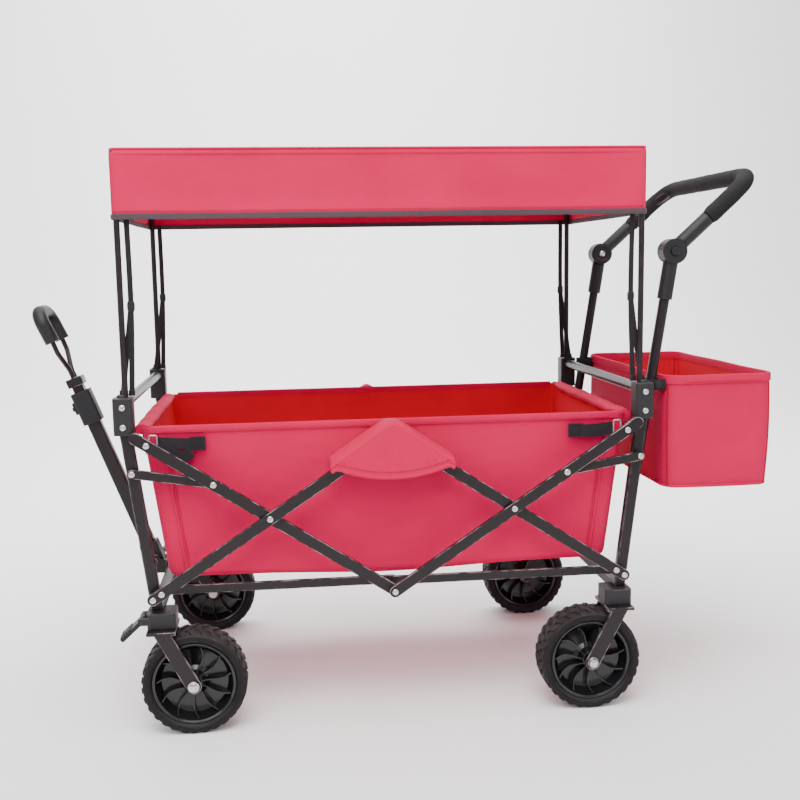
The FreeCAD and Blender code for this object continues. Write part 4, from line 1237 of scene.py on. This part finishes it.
    def end_rim(self, shape: Shape, end: int) -> None:
        """A broad soft roll over the top of an end wall, flattened where it meets the side hems."""
        columns = self.end_columns(end)
        line = [self.wall[0][c] + Vector((end * 1 * MM, 0, -6 * MM)) for c in columns]
        line = [line[0] + (line[0] - line[1]).normalized() * 1 * MM, *line,
                line[-1] + (line[-1] - line[-2]).normalized() * 1 * MM]
        section = [(15 * MM * math.cos(a) * (1 + 0.10 * math.sin(2 * a)), 10.5 * MM * math.sin(a))
                   for a in (2 * math.pi * i / 20 for i in range(20))]
        rings = sweep(line, section, Vector((0, 0, 1)),
                      scale=lambda t: 0.62 + 0.38 * math.sin(math.pi * t) ** 0.3)
        for i, ring in enumerate(rings):
            wave = 0.9 * MM * math.sin(i * 1.3) + 0.6 * MM * math.sin(i * 0.47 + 1)
            for p in ring:
                p.z += wave
                p.x = max(self.low.x - 8 * MM, min(self.high.x + 8 * MM, p.x))
        shape.loft(rings, caps=True)
        skirt = 34 * MM
        rows = int(skirt / (self.high.z - self.low.z) * self.levels) + 1
        flat = [[self.wall[row][c]
                 + Vector((end * 1.4 * MM, 0, 0)) for c in columns] for row in range(rows + 1)]
        shape.loft(flat, closed=False)
        stitches(shape, [p + Vector((end * 0.4 * MM, 0, 1 * MM)) for p in flat[-1]], Vector((end, 0, 0)), 1)

    def mat(self) -> bpy.types.Object:
        """A four-panel padded mat, sewn between its boards."""
        low, high = self.mat_low, self.mat_high
        panels, cells, rows = 4, 12, 22
        across = panels * cells
        top, bottom = [], []
        for i in range(across + 1):
            u = i / across
            panel = (i % cells) / cells
            dome = 1.0 if i % cells else 0.0
            swell = dome * (1 - (2 * panel - 1) ** 4)
            above, below = [], []
            for j in range(rows + 1):
                v = j / rows
                edge = 1 - (2 * v - 1) ** 8
                rise = swell * edge
                x = low.x + u * (high.x - low.x)
                y = low.y + v * (high.y - low.y)
                above.append(Vector((x, y, low.z + (0.30 + 0.62 * rise) * (high.z - low.z))))
                below.append(Vector((x, y, low.z + (0.24 - 0.20 * rise) * (high.z - low.z))))
            top.append(above)
            bottom.append(below)
        rings = [list(above) + list(reversed(below)) for above, below in zip(top, bottom)]
        piece = Shape().loft(rings, caps=True).build("folding_mat", ["red_lining"], 70.0)
        wide = 2 * (rows + 1)
        pins = {}
        for i in range(across + 1):
            for k in range(wide):
                if i % cells == 0 or k in (0, rows, rows + 1, wide - 1):
                    pins[i * wide + k] = 1.0
        drape(piece, pins, 1.2 * MM, pressure=0.6, gravity=0.0, frames=8)
        modify(piece, "SUBSURF", levels=1)
        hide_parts("floor_mat")
        return piece

    def flap(self, side_name: str, side: int) -> bpy.types.Object:
        """A cover over the top centre joint: over the arms in two ridges, then hanging to a curved hem."""
        low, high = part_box("side_flaps")
        outer = high.y if side > 0 else low.y
        wall = side * (self.half_width + 3.5 * MM)
        half = (high.x - low.x) / 2
        mid_x = (low.x + high.x) / 2
        top, corner_z, hem_z = self.high.z + 1 * MM, high.z - 0.76 * (high.z - low.z), low.z
        columns, rings = 48, []
        for i in range(columns + 1):
            u = 2 * i / columns - 1
            x = mid_x + u * half
            slope = math.sqrt(u * u + 0.002) - math.sqrt(0.002)
            ridge = top - 2 * MM - slope / (math.sqrt(1.002) - math.sqrt(0.002)) * (top - corner_z - 3 * MM)
            hem = min(corner_z - (corner_z - hem_z) * (1 - abs(u) ** 2.0), ridge - 9 * MM)
            ease = 2.2 * MM * math.sin(7 * u + 0.6)
            wall_z = min(ridge + 7 * MM, top)
            profile = [(wall, wall_z), (wall + 0.45 * (outer - wall), ridge + 4.6 * MM),
                       (wall + 0.80 * (outer - wall), ridge + 2.6 * MM),
                       (outer - side * 1 * MM, ridge - 0.8 * MM),
                       (outer, ridge - 6 * MM), (outer - side * 1.5 * MM, ridge * 0.66 + hem * 0.34),
                       (outer - side * 1.5 * MM - ease * 0.3, ridge * 0.33 + hem * 0.67),
                       (outer - side * 0.6 * MM, hem)]
            line = smooth_line([Vector((x, y, z)) for y, z in profile], 4)
            rings.append(line)
        shape = Shape().loft(rings, closed=False)
        piece = shape.build(f"{side_name}_flap_cloth", ["red_fabric", "red_lining"], 75.0)
        wide = len(rings[0])
        pins = {i * wide + k: 1.0 for i in range(columns + 1) for k in range(wide) if k < 14}
        drape(piece, pins, 2.5 * MM, gravity=0.7, frames=12)
        hem_line = [piece.data.vertices[i * wide + wide - 1].co.copy() for i in range(columns + 1)]
        modify(piece, "SOLIDIFY", thickness=1.2 * MM, offset=0.0, material_offset=0)
        trim = Shape().loft(sweep(hem_line, tape(7 * MM, 2.4 * MM), Vector((0, side, 0))), caps=True)
        seam = [p + Vector((0, side * 1.0 * MM, 9 * MM)) for p in hem_line[2:-2]]
        stitches(trim, seam, Vector((0, side, 0)), 1)
        edge = trim.build(f"{side_name}_flap_hem", ["red_fabric", "red_thread"], 50.0)
        ride_fold(edge, "rear_frame")
        return piece

    def area(self, piece: bpy.types.Object) -> float:
        """The whole area of a piece's faces."""
        return sum(p.area for p in piece.data.polygons)

    def strap(self, end_name: str, side_name: str) -> bpy.types.Object:
        """A tie strap with its sewn patch and a metal ring: loose at the front, neat at the rear."""
        end, side = ENDS[end_name], SIDES[side_name]
        outward = Vector((0, side, 0))
        wall = side * (self.half_width + 6.5 * MM)
        ring_x = self.mid.x + end * (self.top_half - 28 * MM)
        patch_x = ring_x - end * 66 * MM
        z = self.high.z - 30 * MM
        shape = Shape()
        slack = 22 * MM if end < 0 else 3 * MM
        upper = [Vector((patch_x, wall, z)),
                 Vector(((patch_x + ring_x) / 2, wall + side * 2 * MM, z + 1 * MM)),
                 Vector((ring_x, wall + side * 1.5 * MM, z + 4 * MM))]
        lower = [Vector((ring_x, wall + side * 2.5 * MM, z + 2 * MM)),
                 Vector((ring_x - end * 16 * MM, wall + side * 3.5 * MM, z - 0.5 * slack)),
                 Vector((ring_x - end * 40 * MM, wall + side * 3.5 * MM, z - slack)),
                 Vector((ring_x - end * 56 * MM, wall + side * 2.5 * MM, z - 0.62 * slack))]
        for line in (upper, lower):
            shape.loft(sweep(smooth_line(line, 8), tape(19 * MM, 1.5 * MM), outward), caps=True)
        patch = [Vector((patch_x + end * d * MM, wall + side * 1.0 * MM, z)) for d in (-13, -6, 0, 7, 13)]
        shape.loft(sweep(patch, tape(24 * MM, 2.2 * MM), outward), caps=True)
        frame_line = [Vector((patch_x + a * 10 * MM, wall + side * 2.3 * MM, z + b * 9 * MM))
                      for a, b in ((-1, -1), (1, -1), (1, 1), (-1, 1), (-1, -1), (1, 1))]
        stitches(shape, frame_line, outward, 1, 0.0035)
        loop = [Vector((ring_x + end * 7 * MM + a * 6.5 * MM, wall + side * 4.5 * MM,
                        z + 4 * MM + b * 12.5 * MM))
                for a, b in ((-1, 0), (-1, 1), (1, 1), (1, 0), (1, -1), (-1, -1), (-1, 0))]
        shape.loft(sweep(bent_line(loop, 4 * MM, 4), circle(1.3 * MM, 8), outward), look=2)
        return shape.build(f"{end_name}_{side_name}_tie_strap",
                           ["black_webbing", "black_webbing", "zinc_steel"])

    def build(self) -> None:
        """Make the tub with all that is sewn to it."""
        shell, trims = self.shell(), self.trims()
        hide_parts("tub_fabric")
        pieces = [shell, trims, self.mat()]
        flaps = [self.flap(name, side) for name, side in SIDES.items()]
        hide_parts("side_flaps")
        straps = [self.strap(end, side) for end in ENDS for side in SIDES]
        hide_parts("tie_straps_and_rings")
        for piece in pieces + flaps:
            ride_fold(piece, "rear_frame")
        for piece in straps:
            ride_fold(piece, "rear_frame")
        for piece in (shell, trims):
            LOG.info("%s has %d faces", piece.name, len(piece.data.polygons))


# ---------------------------------------------------------------- canopy


@dataclass
class Canopy(Walled):
    """The boxy fabric roof with its bound hem, piped edges and webbing stays."""

    along: int = 40
    across: int = 22
    bend: int = 5
    drops: int = 7
    roof_rings: int = 7
    corner: float = 13 * MM
    sag: float = 7 * MM

    def __post_init__(self) -> None:
        """Read the canopy's sizes from the frame."""
        self.low, self.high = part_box("canopy_cover")
        self.mid = (self.low + self.high) / 2
        self.half = (self.high - self.low) / 2
        self.corner_lines: list[list[Vector]] = []

    def corner_columns(self) -> list[list[int]]:
        """The columns of each rounded corner of the outline."""
        columns, start = [], 0
        for pieces in (self.along, self.across, self.along, self.across):
            columns.append([start + pieces + k for k in range(self.bend + 1)])
            start += pieces + self.bend
        return columns

    def cover(self) -> tuple[bpy.types.Object, list[Vector], list[Vector]]:
        """The cover as one sheet.

        Returns:
            The piece, the line of its top edge and the line of its hem.
        """
        plan = Vector((self.half.x - 1 * MM, self.half.y - 1 * MM, 0))

        def outline(grow: float, z: float) -> list[Vector]:
            """The roof's outline at a height, grown by a little."""
            half = Vector((plan.x + grow, plan.y + grow, 0))
            return self.outline(half, z)

        edge = outline(-2 * MM, self.high.z - 2 * MM)
        rings = []
        for step in range(1, self.roof_rings):
            share = step / self.roof_rings
            depth = self.sag * (1 - share ** 2)
            rings.append([Vector((self.mid.x + (p.x - self.mid.x) * share, p.y * share,
                                  self.high.z - 2 * MM - depth))
                          for p in edge])
        rings.append(edge)
        edge_row = len(rings) - 1
        wide = len(edge)
        corners = [[column % wide for column in columns] for columns in self.corner_columns()]
        still = {column for columns in corners for column in columns}
        for step in range(self.drops + 1):
            share = step / self.drops
            ring = outline(-0.5 * MM, self.high.z - 5 * MM - share * (self.high.z - self.low.z - 8 * MM))
            for i, p in enumerate(ring):
                if i in still:
                    continue
                bow = math.sin(math.pi * share) * 2.2 * MM
                ripple = math.sin(i * 0.55) * 1.1 * MM * share
                side = Vector((0, math.copysign(1, p.y), 0)) if abs(p.y) > plan.y - 2 * MM else (
                    Vector((math.copysign(1, p.x - self.mid.x), 0, 0)))
                p += side * (ripple - bow)
            rings.append(ring)
        shape = Shape().loft(rings)
        centre = Vector((self.mid.x, 0, self.high.z - 2 * MM - self.sag))
        shape.points.append(centre)
        for i in range(wide):
            shape.faces.append((i, (i + 1) % wide, len(shape.points) - 1))
            shape.looks.append(0)
        piece = shape.build("canopy_cloth", ["red_fabric", "red_lining"], 70.0)
        last = (len(rings) - 1) * wide
        pins = {edge_row * wide + i: 1.0 for i in range(wide)}
        pins.update({last + i: 1.0 for i in range(wide)})
        pins.update({row * wide + i: 1.0 for row in range(edge_row, len(rings)) for i in still})
        drape(piece, pins, 7 * MM, gravity=0.8, frames=16)
        for columns in corners:
            middle = columns[len(columns) // 2]
            self.corner_lines.append([piece.data.vertices[row * wide + middle].co.copy()
                                      for row in range(edge_row, len(rings))])
        top_line = [piece.data.vertices[edge_row * wide + i].co.copy() for i in range(wide)]
        hem_line = [piece.data.vertices[last + i].co.copy() for i in range(wide)]
        modify(piece, "SOLIDIFY", thickness=1.4 * MM, offset=0.0, material_offset=0)
        modify(piece, "SUBSURF", levels=1)
        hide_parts("canopy_cover")
        return piece, top_line, hem_line

    def trims(self, top_line: list[Vector], hem_line: list[Vector]) -> bpy.types.Object:
        """Piping round the roof, a dark bound hem over a rod, and stitches."""
        shape = Shape()
        up = Vector((0, 0, 1))
        shape.loft(sweep(top_line, circle(1.9 * MM, 8), up, closed=True), ring_loop=True)
        binding = [(-1.8 * MM, -4.2 * MM), (-2.6 * MM, 0.0), (-1.8 * MM, 4.2 * MM), (1.8 * MM, 4.2 * MM),
                   (2.6 * MM, 0.0), (1.8 * MM, -4.2 * MM), (0.0, -5.0 * MM)]
        shape.loft(sweep(hem_line, binding, up, closed=True), ring_loop=True, look=1)
        plan = self.half.y - 1 * MM
        for side in SIDES.values():
            seam = [p for p in hem_line if abs(p.y - side * plan) < 4 * MM]
            seam = sorted(seam, key=lambda p: p.x)
            stitches(shape, [p + Vector((0, side * 0.8 * MM, 8 * MM)) for p in seam], Vector((0, side, 0)), 2)
            top = sorted((p for p in top_line if abs(p.y - side * plan) < 4 * MM), key=lambda p: p.x)
            stitches(shape, [p + Vector((0, side * 1.6 * MM, -9 * MM)) for p in top], Vector((0, side, 0)), 2)
        for line in self.corner_lines:
            out = (line[0] - self.mid).normalized()
            shape.loft(sweep(line, circle(1.7 * MM, 8), Vector((out.x, out.y, 0))), caps=True)
        return shape.build("canopy_binding", ["red_fabric", "edge_binding", "red_thread"], 45.0)

    def stays(self) -> bpy.types.Object:
        """Two webbing stays at each corner, from the hem down to the corner bracket."""
        shape = Shape()
        for end_name, end in ENDS.items():
            pole_low, pole_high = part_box(f"canopy_{end_name}_poles")
            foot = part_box(f"{end_name}_corner_brackets")[1].z + 1.5 * MM
            pole_x = (pole_low.x + pole_high.x) / 2
            for side in SIDES.values():
                y = side * ((pole_high.y - pole_low.y) / 2 - 5 * MM)
                head = Vector((pole_x - end * 15 * MM, y - side * 4 * MM, self.low.z + 6 * MM))
                long_foot = Vector((pole_x - end * 10 * MM, y - side * 6.5 * MM, foot))
                short_foot = Vector((pole_x + end * 5 * MM, y - side * 8 * MM, foot))
                bow = Vector((-end * 3 * MM, -side * 1.5 * MM, 0))
                long_stay = smooth_line([head, head.lerp(long_foot, 0.5) + bow, long_foot], 10)
                fork = long_stay[len(long_stay) // 2]
                short_stay = smooth_line([fork, fork.lerp(short_foot, 0.5), short_foot], 10)
                for line in (long_stay, short_stay):
                    shape.loft(sweep(line, tape(9 * MM, 1.4 * MM), Vector((0, side, 0))), caps=True)
                    tab = [line[-1] + Vector((0, 0, z)) for z in (9 * MM, 5 * MM, 1 * MM)]
                    shape.loft(sweep(tab, tape(11 * MM, 3.6 * MM), Vector((0, side, 0))), caps=True, look=1)
                buckle = [fork + Vector((0, 0, z)) for z in (8 * MM, 4 * MM, -4 * MM, -8 * MM)]
                shape.loft(sweep(buckle, tape(13 * MM, 4.2 * MM), Vector((0, side, 0)),
                                 scale=lambda t: 0.8 + 0.2 * math.sin(math.pi * t)), caps=True, look=1)
        return shape.build("canopy_stays", ["black_webbing", "black_plastic"])

    def build(self) -> None:
        """Make the canopy."""
        cover, top_line, hem_line = self.cover()
        trims, stays = self.trims(top_line, hem_line), self.stays()
        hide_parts("canopy_straps")
        for piece, slot in ((cover, "red_fabric"), (trims, "red_fabric"), (stays, "black_webbing")):
            ride_fold(piece, "canopy_rear")


# ---------------------------------------------------------------- rear basket


@dataclass
class Basket(Walled):
    """The rear basket: a soft open box with a folded rim, piped edges and straps to the push legs."""

    corner: float = 26 * MM
    levels: int = 14
    along: int = 18
    across: int = 36
    bend: int = 6

    def __post_init__(self) -> None:
        """Read the basket's sizes from the frame."""
        inner_low, _ = opening("rear_basket")
        self.low, self.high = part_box("rear_basket")
        self.front = inner_low.x - 4 * MM
        self.mid = Vector(((self.front + self.high.x) / 2, 0, (self.low.z + self.high.z) / 2))
        self.half = Vector(((self.high.x - self.front) / 2 - 2 * MM,
                            (self.high.y - self.low.y) / 2 - 2 * MM, 0))

    def ring(self, share: float) -> list[Vector]:
        """The outline at a share of the depth: slack in the middle, drawn in below."""
        draw = 2.5 * MM * share ** 2 - 2.0 * MM * math.sin(math.pi * share)
        half = Vector((self.half.x - draw, self.half.y - draw, 0))
        z = self.high.z - 2 * MM - share * (self.high.z - self.low.z - 4 * MM)
        points = self.outline(half, z)
        for i, p in enumerate(points):
            p.z += 0.4 * MM * math.sin(i * 0.31) * (1 - share) - 0.6 * MM * math.sin(i * 0.2) * share
        return points

    def shell(self) -> tuple[bpy.types.Object, list[list[Vector]]]:
        """The sagging shell.

        Returns:
            The piece and its rings of points.
        """
        rings = [self.ring(i / self.levels) for i in range(self.levels + 1)]
        last = rings[-1]
        for share in (0.94, 0.6, 0.25):
            rings.append([Vector((self.mid.x + (p.x - self.mid.x) * share, p.y * share,
                                  self.low.z + 2 * MM)) for p in last])
        wide = len(last)
        shape = self.floored(rings, Vector((self.mid.x, 0, self.low.z + 2 * MM)))
        piece = shape.build("basket_shell", ["red_fabric", "red_lining"], 60.0)
        pins = {i: 1.0 for i in range(wide)}
        pins.update({self.levels * wide + i: 0.9 for i in range(len(shape.points) - self.levels * wide)})
        drape(piece, pins, 6 * MM, pressure=-0.3, gravity=0.7, frames=14)
        walls = self.settled(piece, wide, self.levels + 1)
        modify(piece, "SOLIDIFY", thickness=1.6 * MM, offset=-1.0, material_offset=1)
        return modify(piece, "SUBSURF", levels=1), walls

    def trims(self, walls: list[list[Vector]]) -> bpy.types.Object:
        """Folded rim, piped bottom and corners, stitches, and the straps to the push legs."""
        shape = Shape()
        up = Vector((0, 0, 1))
        rim = [p + Vector((0, 0, -5.5 * MM)) for p in walls[0]]
        fold = [(-2.6 * MM, -8 * MM), (-3.0 * MM, 0.0), (-2.4 * MM, 6.0 * MM), (0.0, 7.4 * MM),
                (2.4 * MM, 6.0 * MM),
                (3.0 * MM, 0.0), (2.6 * MM, -8 * MM), (0.6 * MM, -8.4 * MM), (-0.6 * MM, -8.4 * MM)]
        shape.loft(sweep(rim, fold, up, closed=True), ring_loop=True)
        foot = [p + Vector((self.mid.x - p.x, -p.y, 0)).normalized() * 1.8 * MM
                + up * 1.4 * MM for p in walls[-1]]
        shape.loft(sweep(foot, circle(2.8 * MM, 8), up, closed=True), ring_loop=True)
        wide = len(walls[0])
        sections = (self.along, self.across, self.along, self.across)
        start = 0
        for pieces in sections:
            column = (start + pieces + self.bend // 2) % wide
            out = (walls[0][column] - self.mid) * 1.0
            out.z = 0
            out = out.normalized()
            line = smooth_line([walls[row][column] - out * 0.6 * MM for row in range(1, self.levels + 1)], 2)
            shape.loft(sweep(line, circle(2.0 * MM, 8), out), caps=True, look=2)
            start += pieces + self.bend
        for side in SIDES.values():
            columns = range(0, self.along) if side < 0 else range(self.along + self.across + 2 * self.bend,
                                                                  2 * self.along + self.across
                                                                  + 2 * self.bend)
            line = [walls[0][c] + Vector((0, side * 3.1 * MM, -11 * MM)) for c in columns]
            stitches(shape, line, Vector((0, side, 0)), 2)
            self.leg_strap(shape, side)
        return shape.build("basket_trims", ["red_fabric", "black_webbing", "red_thread", "black_plastic"],
                           50.0)

    def leg_strap(self, shape: Shape, side: int) -> None:
        """A webbing loop from the basket's front rim round a push leg, with a snap."""
        leg_low, leg_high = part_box("push_legs")
        y = side * ((leg_high.y - leg_low.y) / 2 - 9 * MM)
        z = self.high.z - 17 * MM
        share = (z - leg_low.z) / (leg_high.z - leg_low.z)
        leg_x = leg_low.x + 9 * MM + share * (leg_high.x - leg_low.x - 18 * MM)
        start = Vector((self.front + 6 * MM, y + side * 13.5 * MM, z))
        line = [start, Vector((leg_x + 6 * MM, y + side * 13 * MM, z)),
                Vector((leg_x - 10 * MM, y + side * 9 * MM, z)),
                Vector((leg_x - 13 * MM, y, z)), Vector((leg_x - 10 * MM, y - side * 9 * MM, z)),
                Vector((leg_x + 4 * MM, y - side * 12.5 * MM, z)),
                Vector((self.front + 2 * MM, y - side * 9 * MM, z))]
        shape.loft(sweep(smooth_line(line, 6), [(b, a) for a, b in tape(20 * MM, 1.8 * MM)],
                         Vector((0, 0, 1))),
                   caps=True, look=1)
        snap = Vector((self.front - 9 * MM, y + side * 14 * MM, z))
        shape.loft(lathe([(0, 6.5 * MM), (2.2 * MM, 6 * MM), (3.2 * MM, 3.5 * MM), (2.6 * MM, 0.1 * MM)],
                         snap,
                         Vector((0, side, 0)), 18), look=3)

    def build(self) -> None:
        """Make the basket."""
        shell, walls = self.shell()
        trims = self.trims(walls)
        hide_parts("rear_basket")
        for piece in (shell, trims):
            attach(piece, "rear_frame")


# ---------------------------------------------------------------- handles


@dataclass
class PushBow:
    """The foam grip on the push bow, and the discs of its adjusters."""

    wall: float = 9.0 * MM
    bend: float = 60 * MM

    def foam(self) -> bpy.types.Object:
        """A soft foam sleeve round the bow."""
        pivot = joint_place("push_bow_tilt")
        foam_low, foam_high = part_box("push_bow_foam")
        tube_low, tube_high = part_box("push_bow_tube")
        half = (tube_high.y - tube_low.y) / 2 - self.wall
        radius = (foam_high.y - foam_low.y) / 2 - half
        outer = Vector((foam_high.x - radius, 0, foam_high.z - radius))
        out = outer - Vector((pivot.x, 0, pivot.z))
        start = Vector((foam_low.x + radius * 0.7, 0, foam_low.z + radius * 0.75))
        shape = Shape()
        corners = [start + Vector((0, -half, 0)), outer + Vector((0, -half, 0)), outer + Vector((0, half, 0)),
                   start + Vector((0, half, 0))]
        line = bent_line(corners, self.bend, 14)
        fine = []
        for a, b in zip(line, line[1:]):
            cuts = max(1, int((b - a).length / (8 * MM)))
            fine += [a.lerp(b, i / cuts) for i in range(cuts)]
        fine.append(line[-1])

        def swell(share: float) -> float:
            """The sleeve's size along its length: chamfered ends and faint waves."""
            end = min(share, 1 - share) * 80
            return min(1.0, 0.86 + 0.14 * end) * (1 + 0.012 * math.sin(share * 95)
                                                  + 0.01 * math.sin(share * 41))

        normal = out.normalized().cross(Vector((0, 1, 0)))
        shape.loft(sweep(fine, circle(radius - 0.5 * MM, 24), normal, scale=swell), caps=True)
        piece = shape.build("foam_sleeve", ["grip_foam"], 50.0)
        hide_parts("push_bow_foam")
        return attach(piece, "push_bow")

    def discs(self) -> bpy.types.Object:
        """Raised rings and pins on the inner discs of the upper adjusters."""
        pivot = joint_place("push_bow_tilt")
        shape = Shape()
        for side in SIDES.values():
            lumps = [box for box in Framework().solids("upper_adjusters") if (box[0].y + box[1].y) * side > 0]
            inner = min(lumps, key=lambda box: abs(box[0].y + box[1].y))
            face = face_at(*inner, -side)
            spot = Vector((pivot.x, face, pivot.z))
            shape.loft(lathe([(0, 19 * MM), (1.4 * MM, 18.4 * MM), (1.4 * MM, 14 * MM),
                              (0.2 * MM, 13 * MM)], spot,
                             Vector((0, -side, 0)), 40))
            shape.loft(lathe([(0, 6.5 * MM), (2.0 * MM, 6 * MM), (3.2 * MM, 3.6 * MM), (2.2 * MM, 2.0 * MM),
                              (2.0 * MM, 0.1 * MM)], spot, Vector((0, -side, 0)), 20), look=1)
        piece = shape.build("adjuster_discs", ["black_plastic", "zinc_steel"])
        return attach(piece, "push_bow")

    def build(self) -> None:
        """Make the push bow's soft and small parts."""
        self.foam()
        self.discs()


# ---------------------------------------------------------------- studio


@dataclass
class Studio:
    """Camera, lights and floor."""

    eye: Vector = field(default_factory=lambda: Vector((-0.2066, -1.9665, 0.7878)))
    yaw: float = 0.1112
    pitch: float = 0.1323
    roll: float = 0.0166
    lens: float = 46.38

    def camera(self) -> None:
        """A camera at the wagon's left front, a little above the tub."""
        sy, cy, sp, cp = math.sin(self.yaw), math.cos(self.yaw), math.sin(self.pitch), math.cos(self.pitch)
        ahead = Vector((sy * cp, cy * cp, -sp))
        right = Vector((cy, -sy, 0))
        up = right.cross(ahead)
        cr, sr = math.cos(self.roll), math.sin(self.roll)
        right, up = right * cr - up * sr, right * sr + up * cr
        turn = Matrix((right, up, -ahead)).transposed()
        data = bpy.data.cameras.new("studio_camera")
        data.lens, data.sensor_width, data.clip_end = self.lens, 36.0, 100.0
        camera = bpy.data.objects.new("studio_camera", data)
        camera.matrix_world = Matrix.Translation(self.eye) @ turn.to_4x4()
        bpy.context.scene.collection.objects.link(camera)
        bpy.context.scene.camera = camera

    def lamp(self, name: str, spot: tuple[float, float, float], aim: tuple[float, float, float], size: float,
             power: float) -> None:
        """A soft square lamp.

        Args:
            name: the lamp's name.
            spot: where it hangs.
            aim: what it looks at.
            size: its side length.
            power: its power in watts.
        """
        data = bpy.data.lights.new(name, "AREA")
        data.size, data.energy = size, power
        lamp = bpy.data.objects.new(name, data)
        lamp.location = spot
        lamp.rotation_euler = (Vector(aim) - Vector(spot)).to_track_quat("-Z", "Y").to_euler()
        bpy.context.scene.collection.objects.link(lamp)

    def floor(self) -> None:
        """A pale floor that curves up behind."""
        rows = []
        for y, z in ((-6, 0), (-2, 0), (2.5, 0), (3.4, 0.12), (4.2, 0.6), (4.6, 1.6), (4.7, 5.0)):
            rows.append([Vector((x, y, z)) for x in (-7, -3, 0, 3, 7)])
        mesh = Shape().loft(rows, closed=False).build("studio_floor", [], 80.0)
        modify(mesh, "SUBSURF", levels=2)
        made, sheet, shader = start_material("pale_paper")
        sheet.set(shader.inputs["Base Color"],
                  sheet.mix(sheet.noise(sheet.place(), 3.0), colour(0.93, 0.93, 0.93),
                                                         colour(0.96, 0.96, 0.96)))
        shader.inputs["Roughness"].default_value = 0.9
        mesh.data.materials.append(made)

    def build(self) -> None:
        """Set up the studio."""
        self.camera()
        self.floor()
        world = bpy.data.worlds.new("studio")
        world.use_nodes = True
        world.node_tree.nodes["Background"].inputs[0].default_value = colour(1.0, 1.0, 1.0)
        world.node_tree.nodes["Background"].inputs[1].default_value = 0.72
        bpy.context.scene.world = world
        self.lamp("overhead", (-0.3, -0.6, 3.0), (0, 0, 0.4), 2.6, 105)
        self.lamp("front", (-0.2, -1.7, 2.4), (0, 0, 0.6), 1.4, 42)
        self.lamp("key", (-2.2, -2.6, 2.2), (0, 0, 0.4), 1.8, 32)
        self.lamp("fill", (2.6, -2.2, 1.2), (0, 0, 0.4), 2.0, 16)
        self.lamp("backdrop", (0, 2.0, 3.2), (0, 4.6, 0.8), 4.0, 300)


def main() -> None:
    """Build the wagon's looks round its frame."""
    logging.basicConfig(level=logging.INFO, format="%(name)s: %(message)s")
    Studio().build()
    Framework().build()
    LOG.info("frame painted and riveted")
    for end in ENDS:
        for side in SIDES:
            Wheel(end, side).build()
    LOG.info("wheels built")
    Tub().build()
    LOG.info("tub built")
    Canopy().build()
    LOG.info("canopy built")
    Basket().build()
    LOG.info("basket built")
    PushBow().build()
    LOG.info("push bow built")


if __name__ == "__main__":
    main()
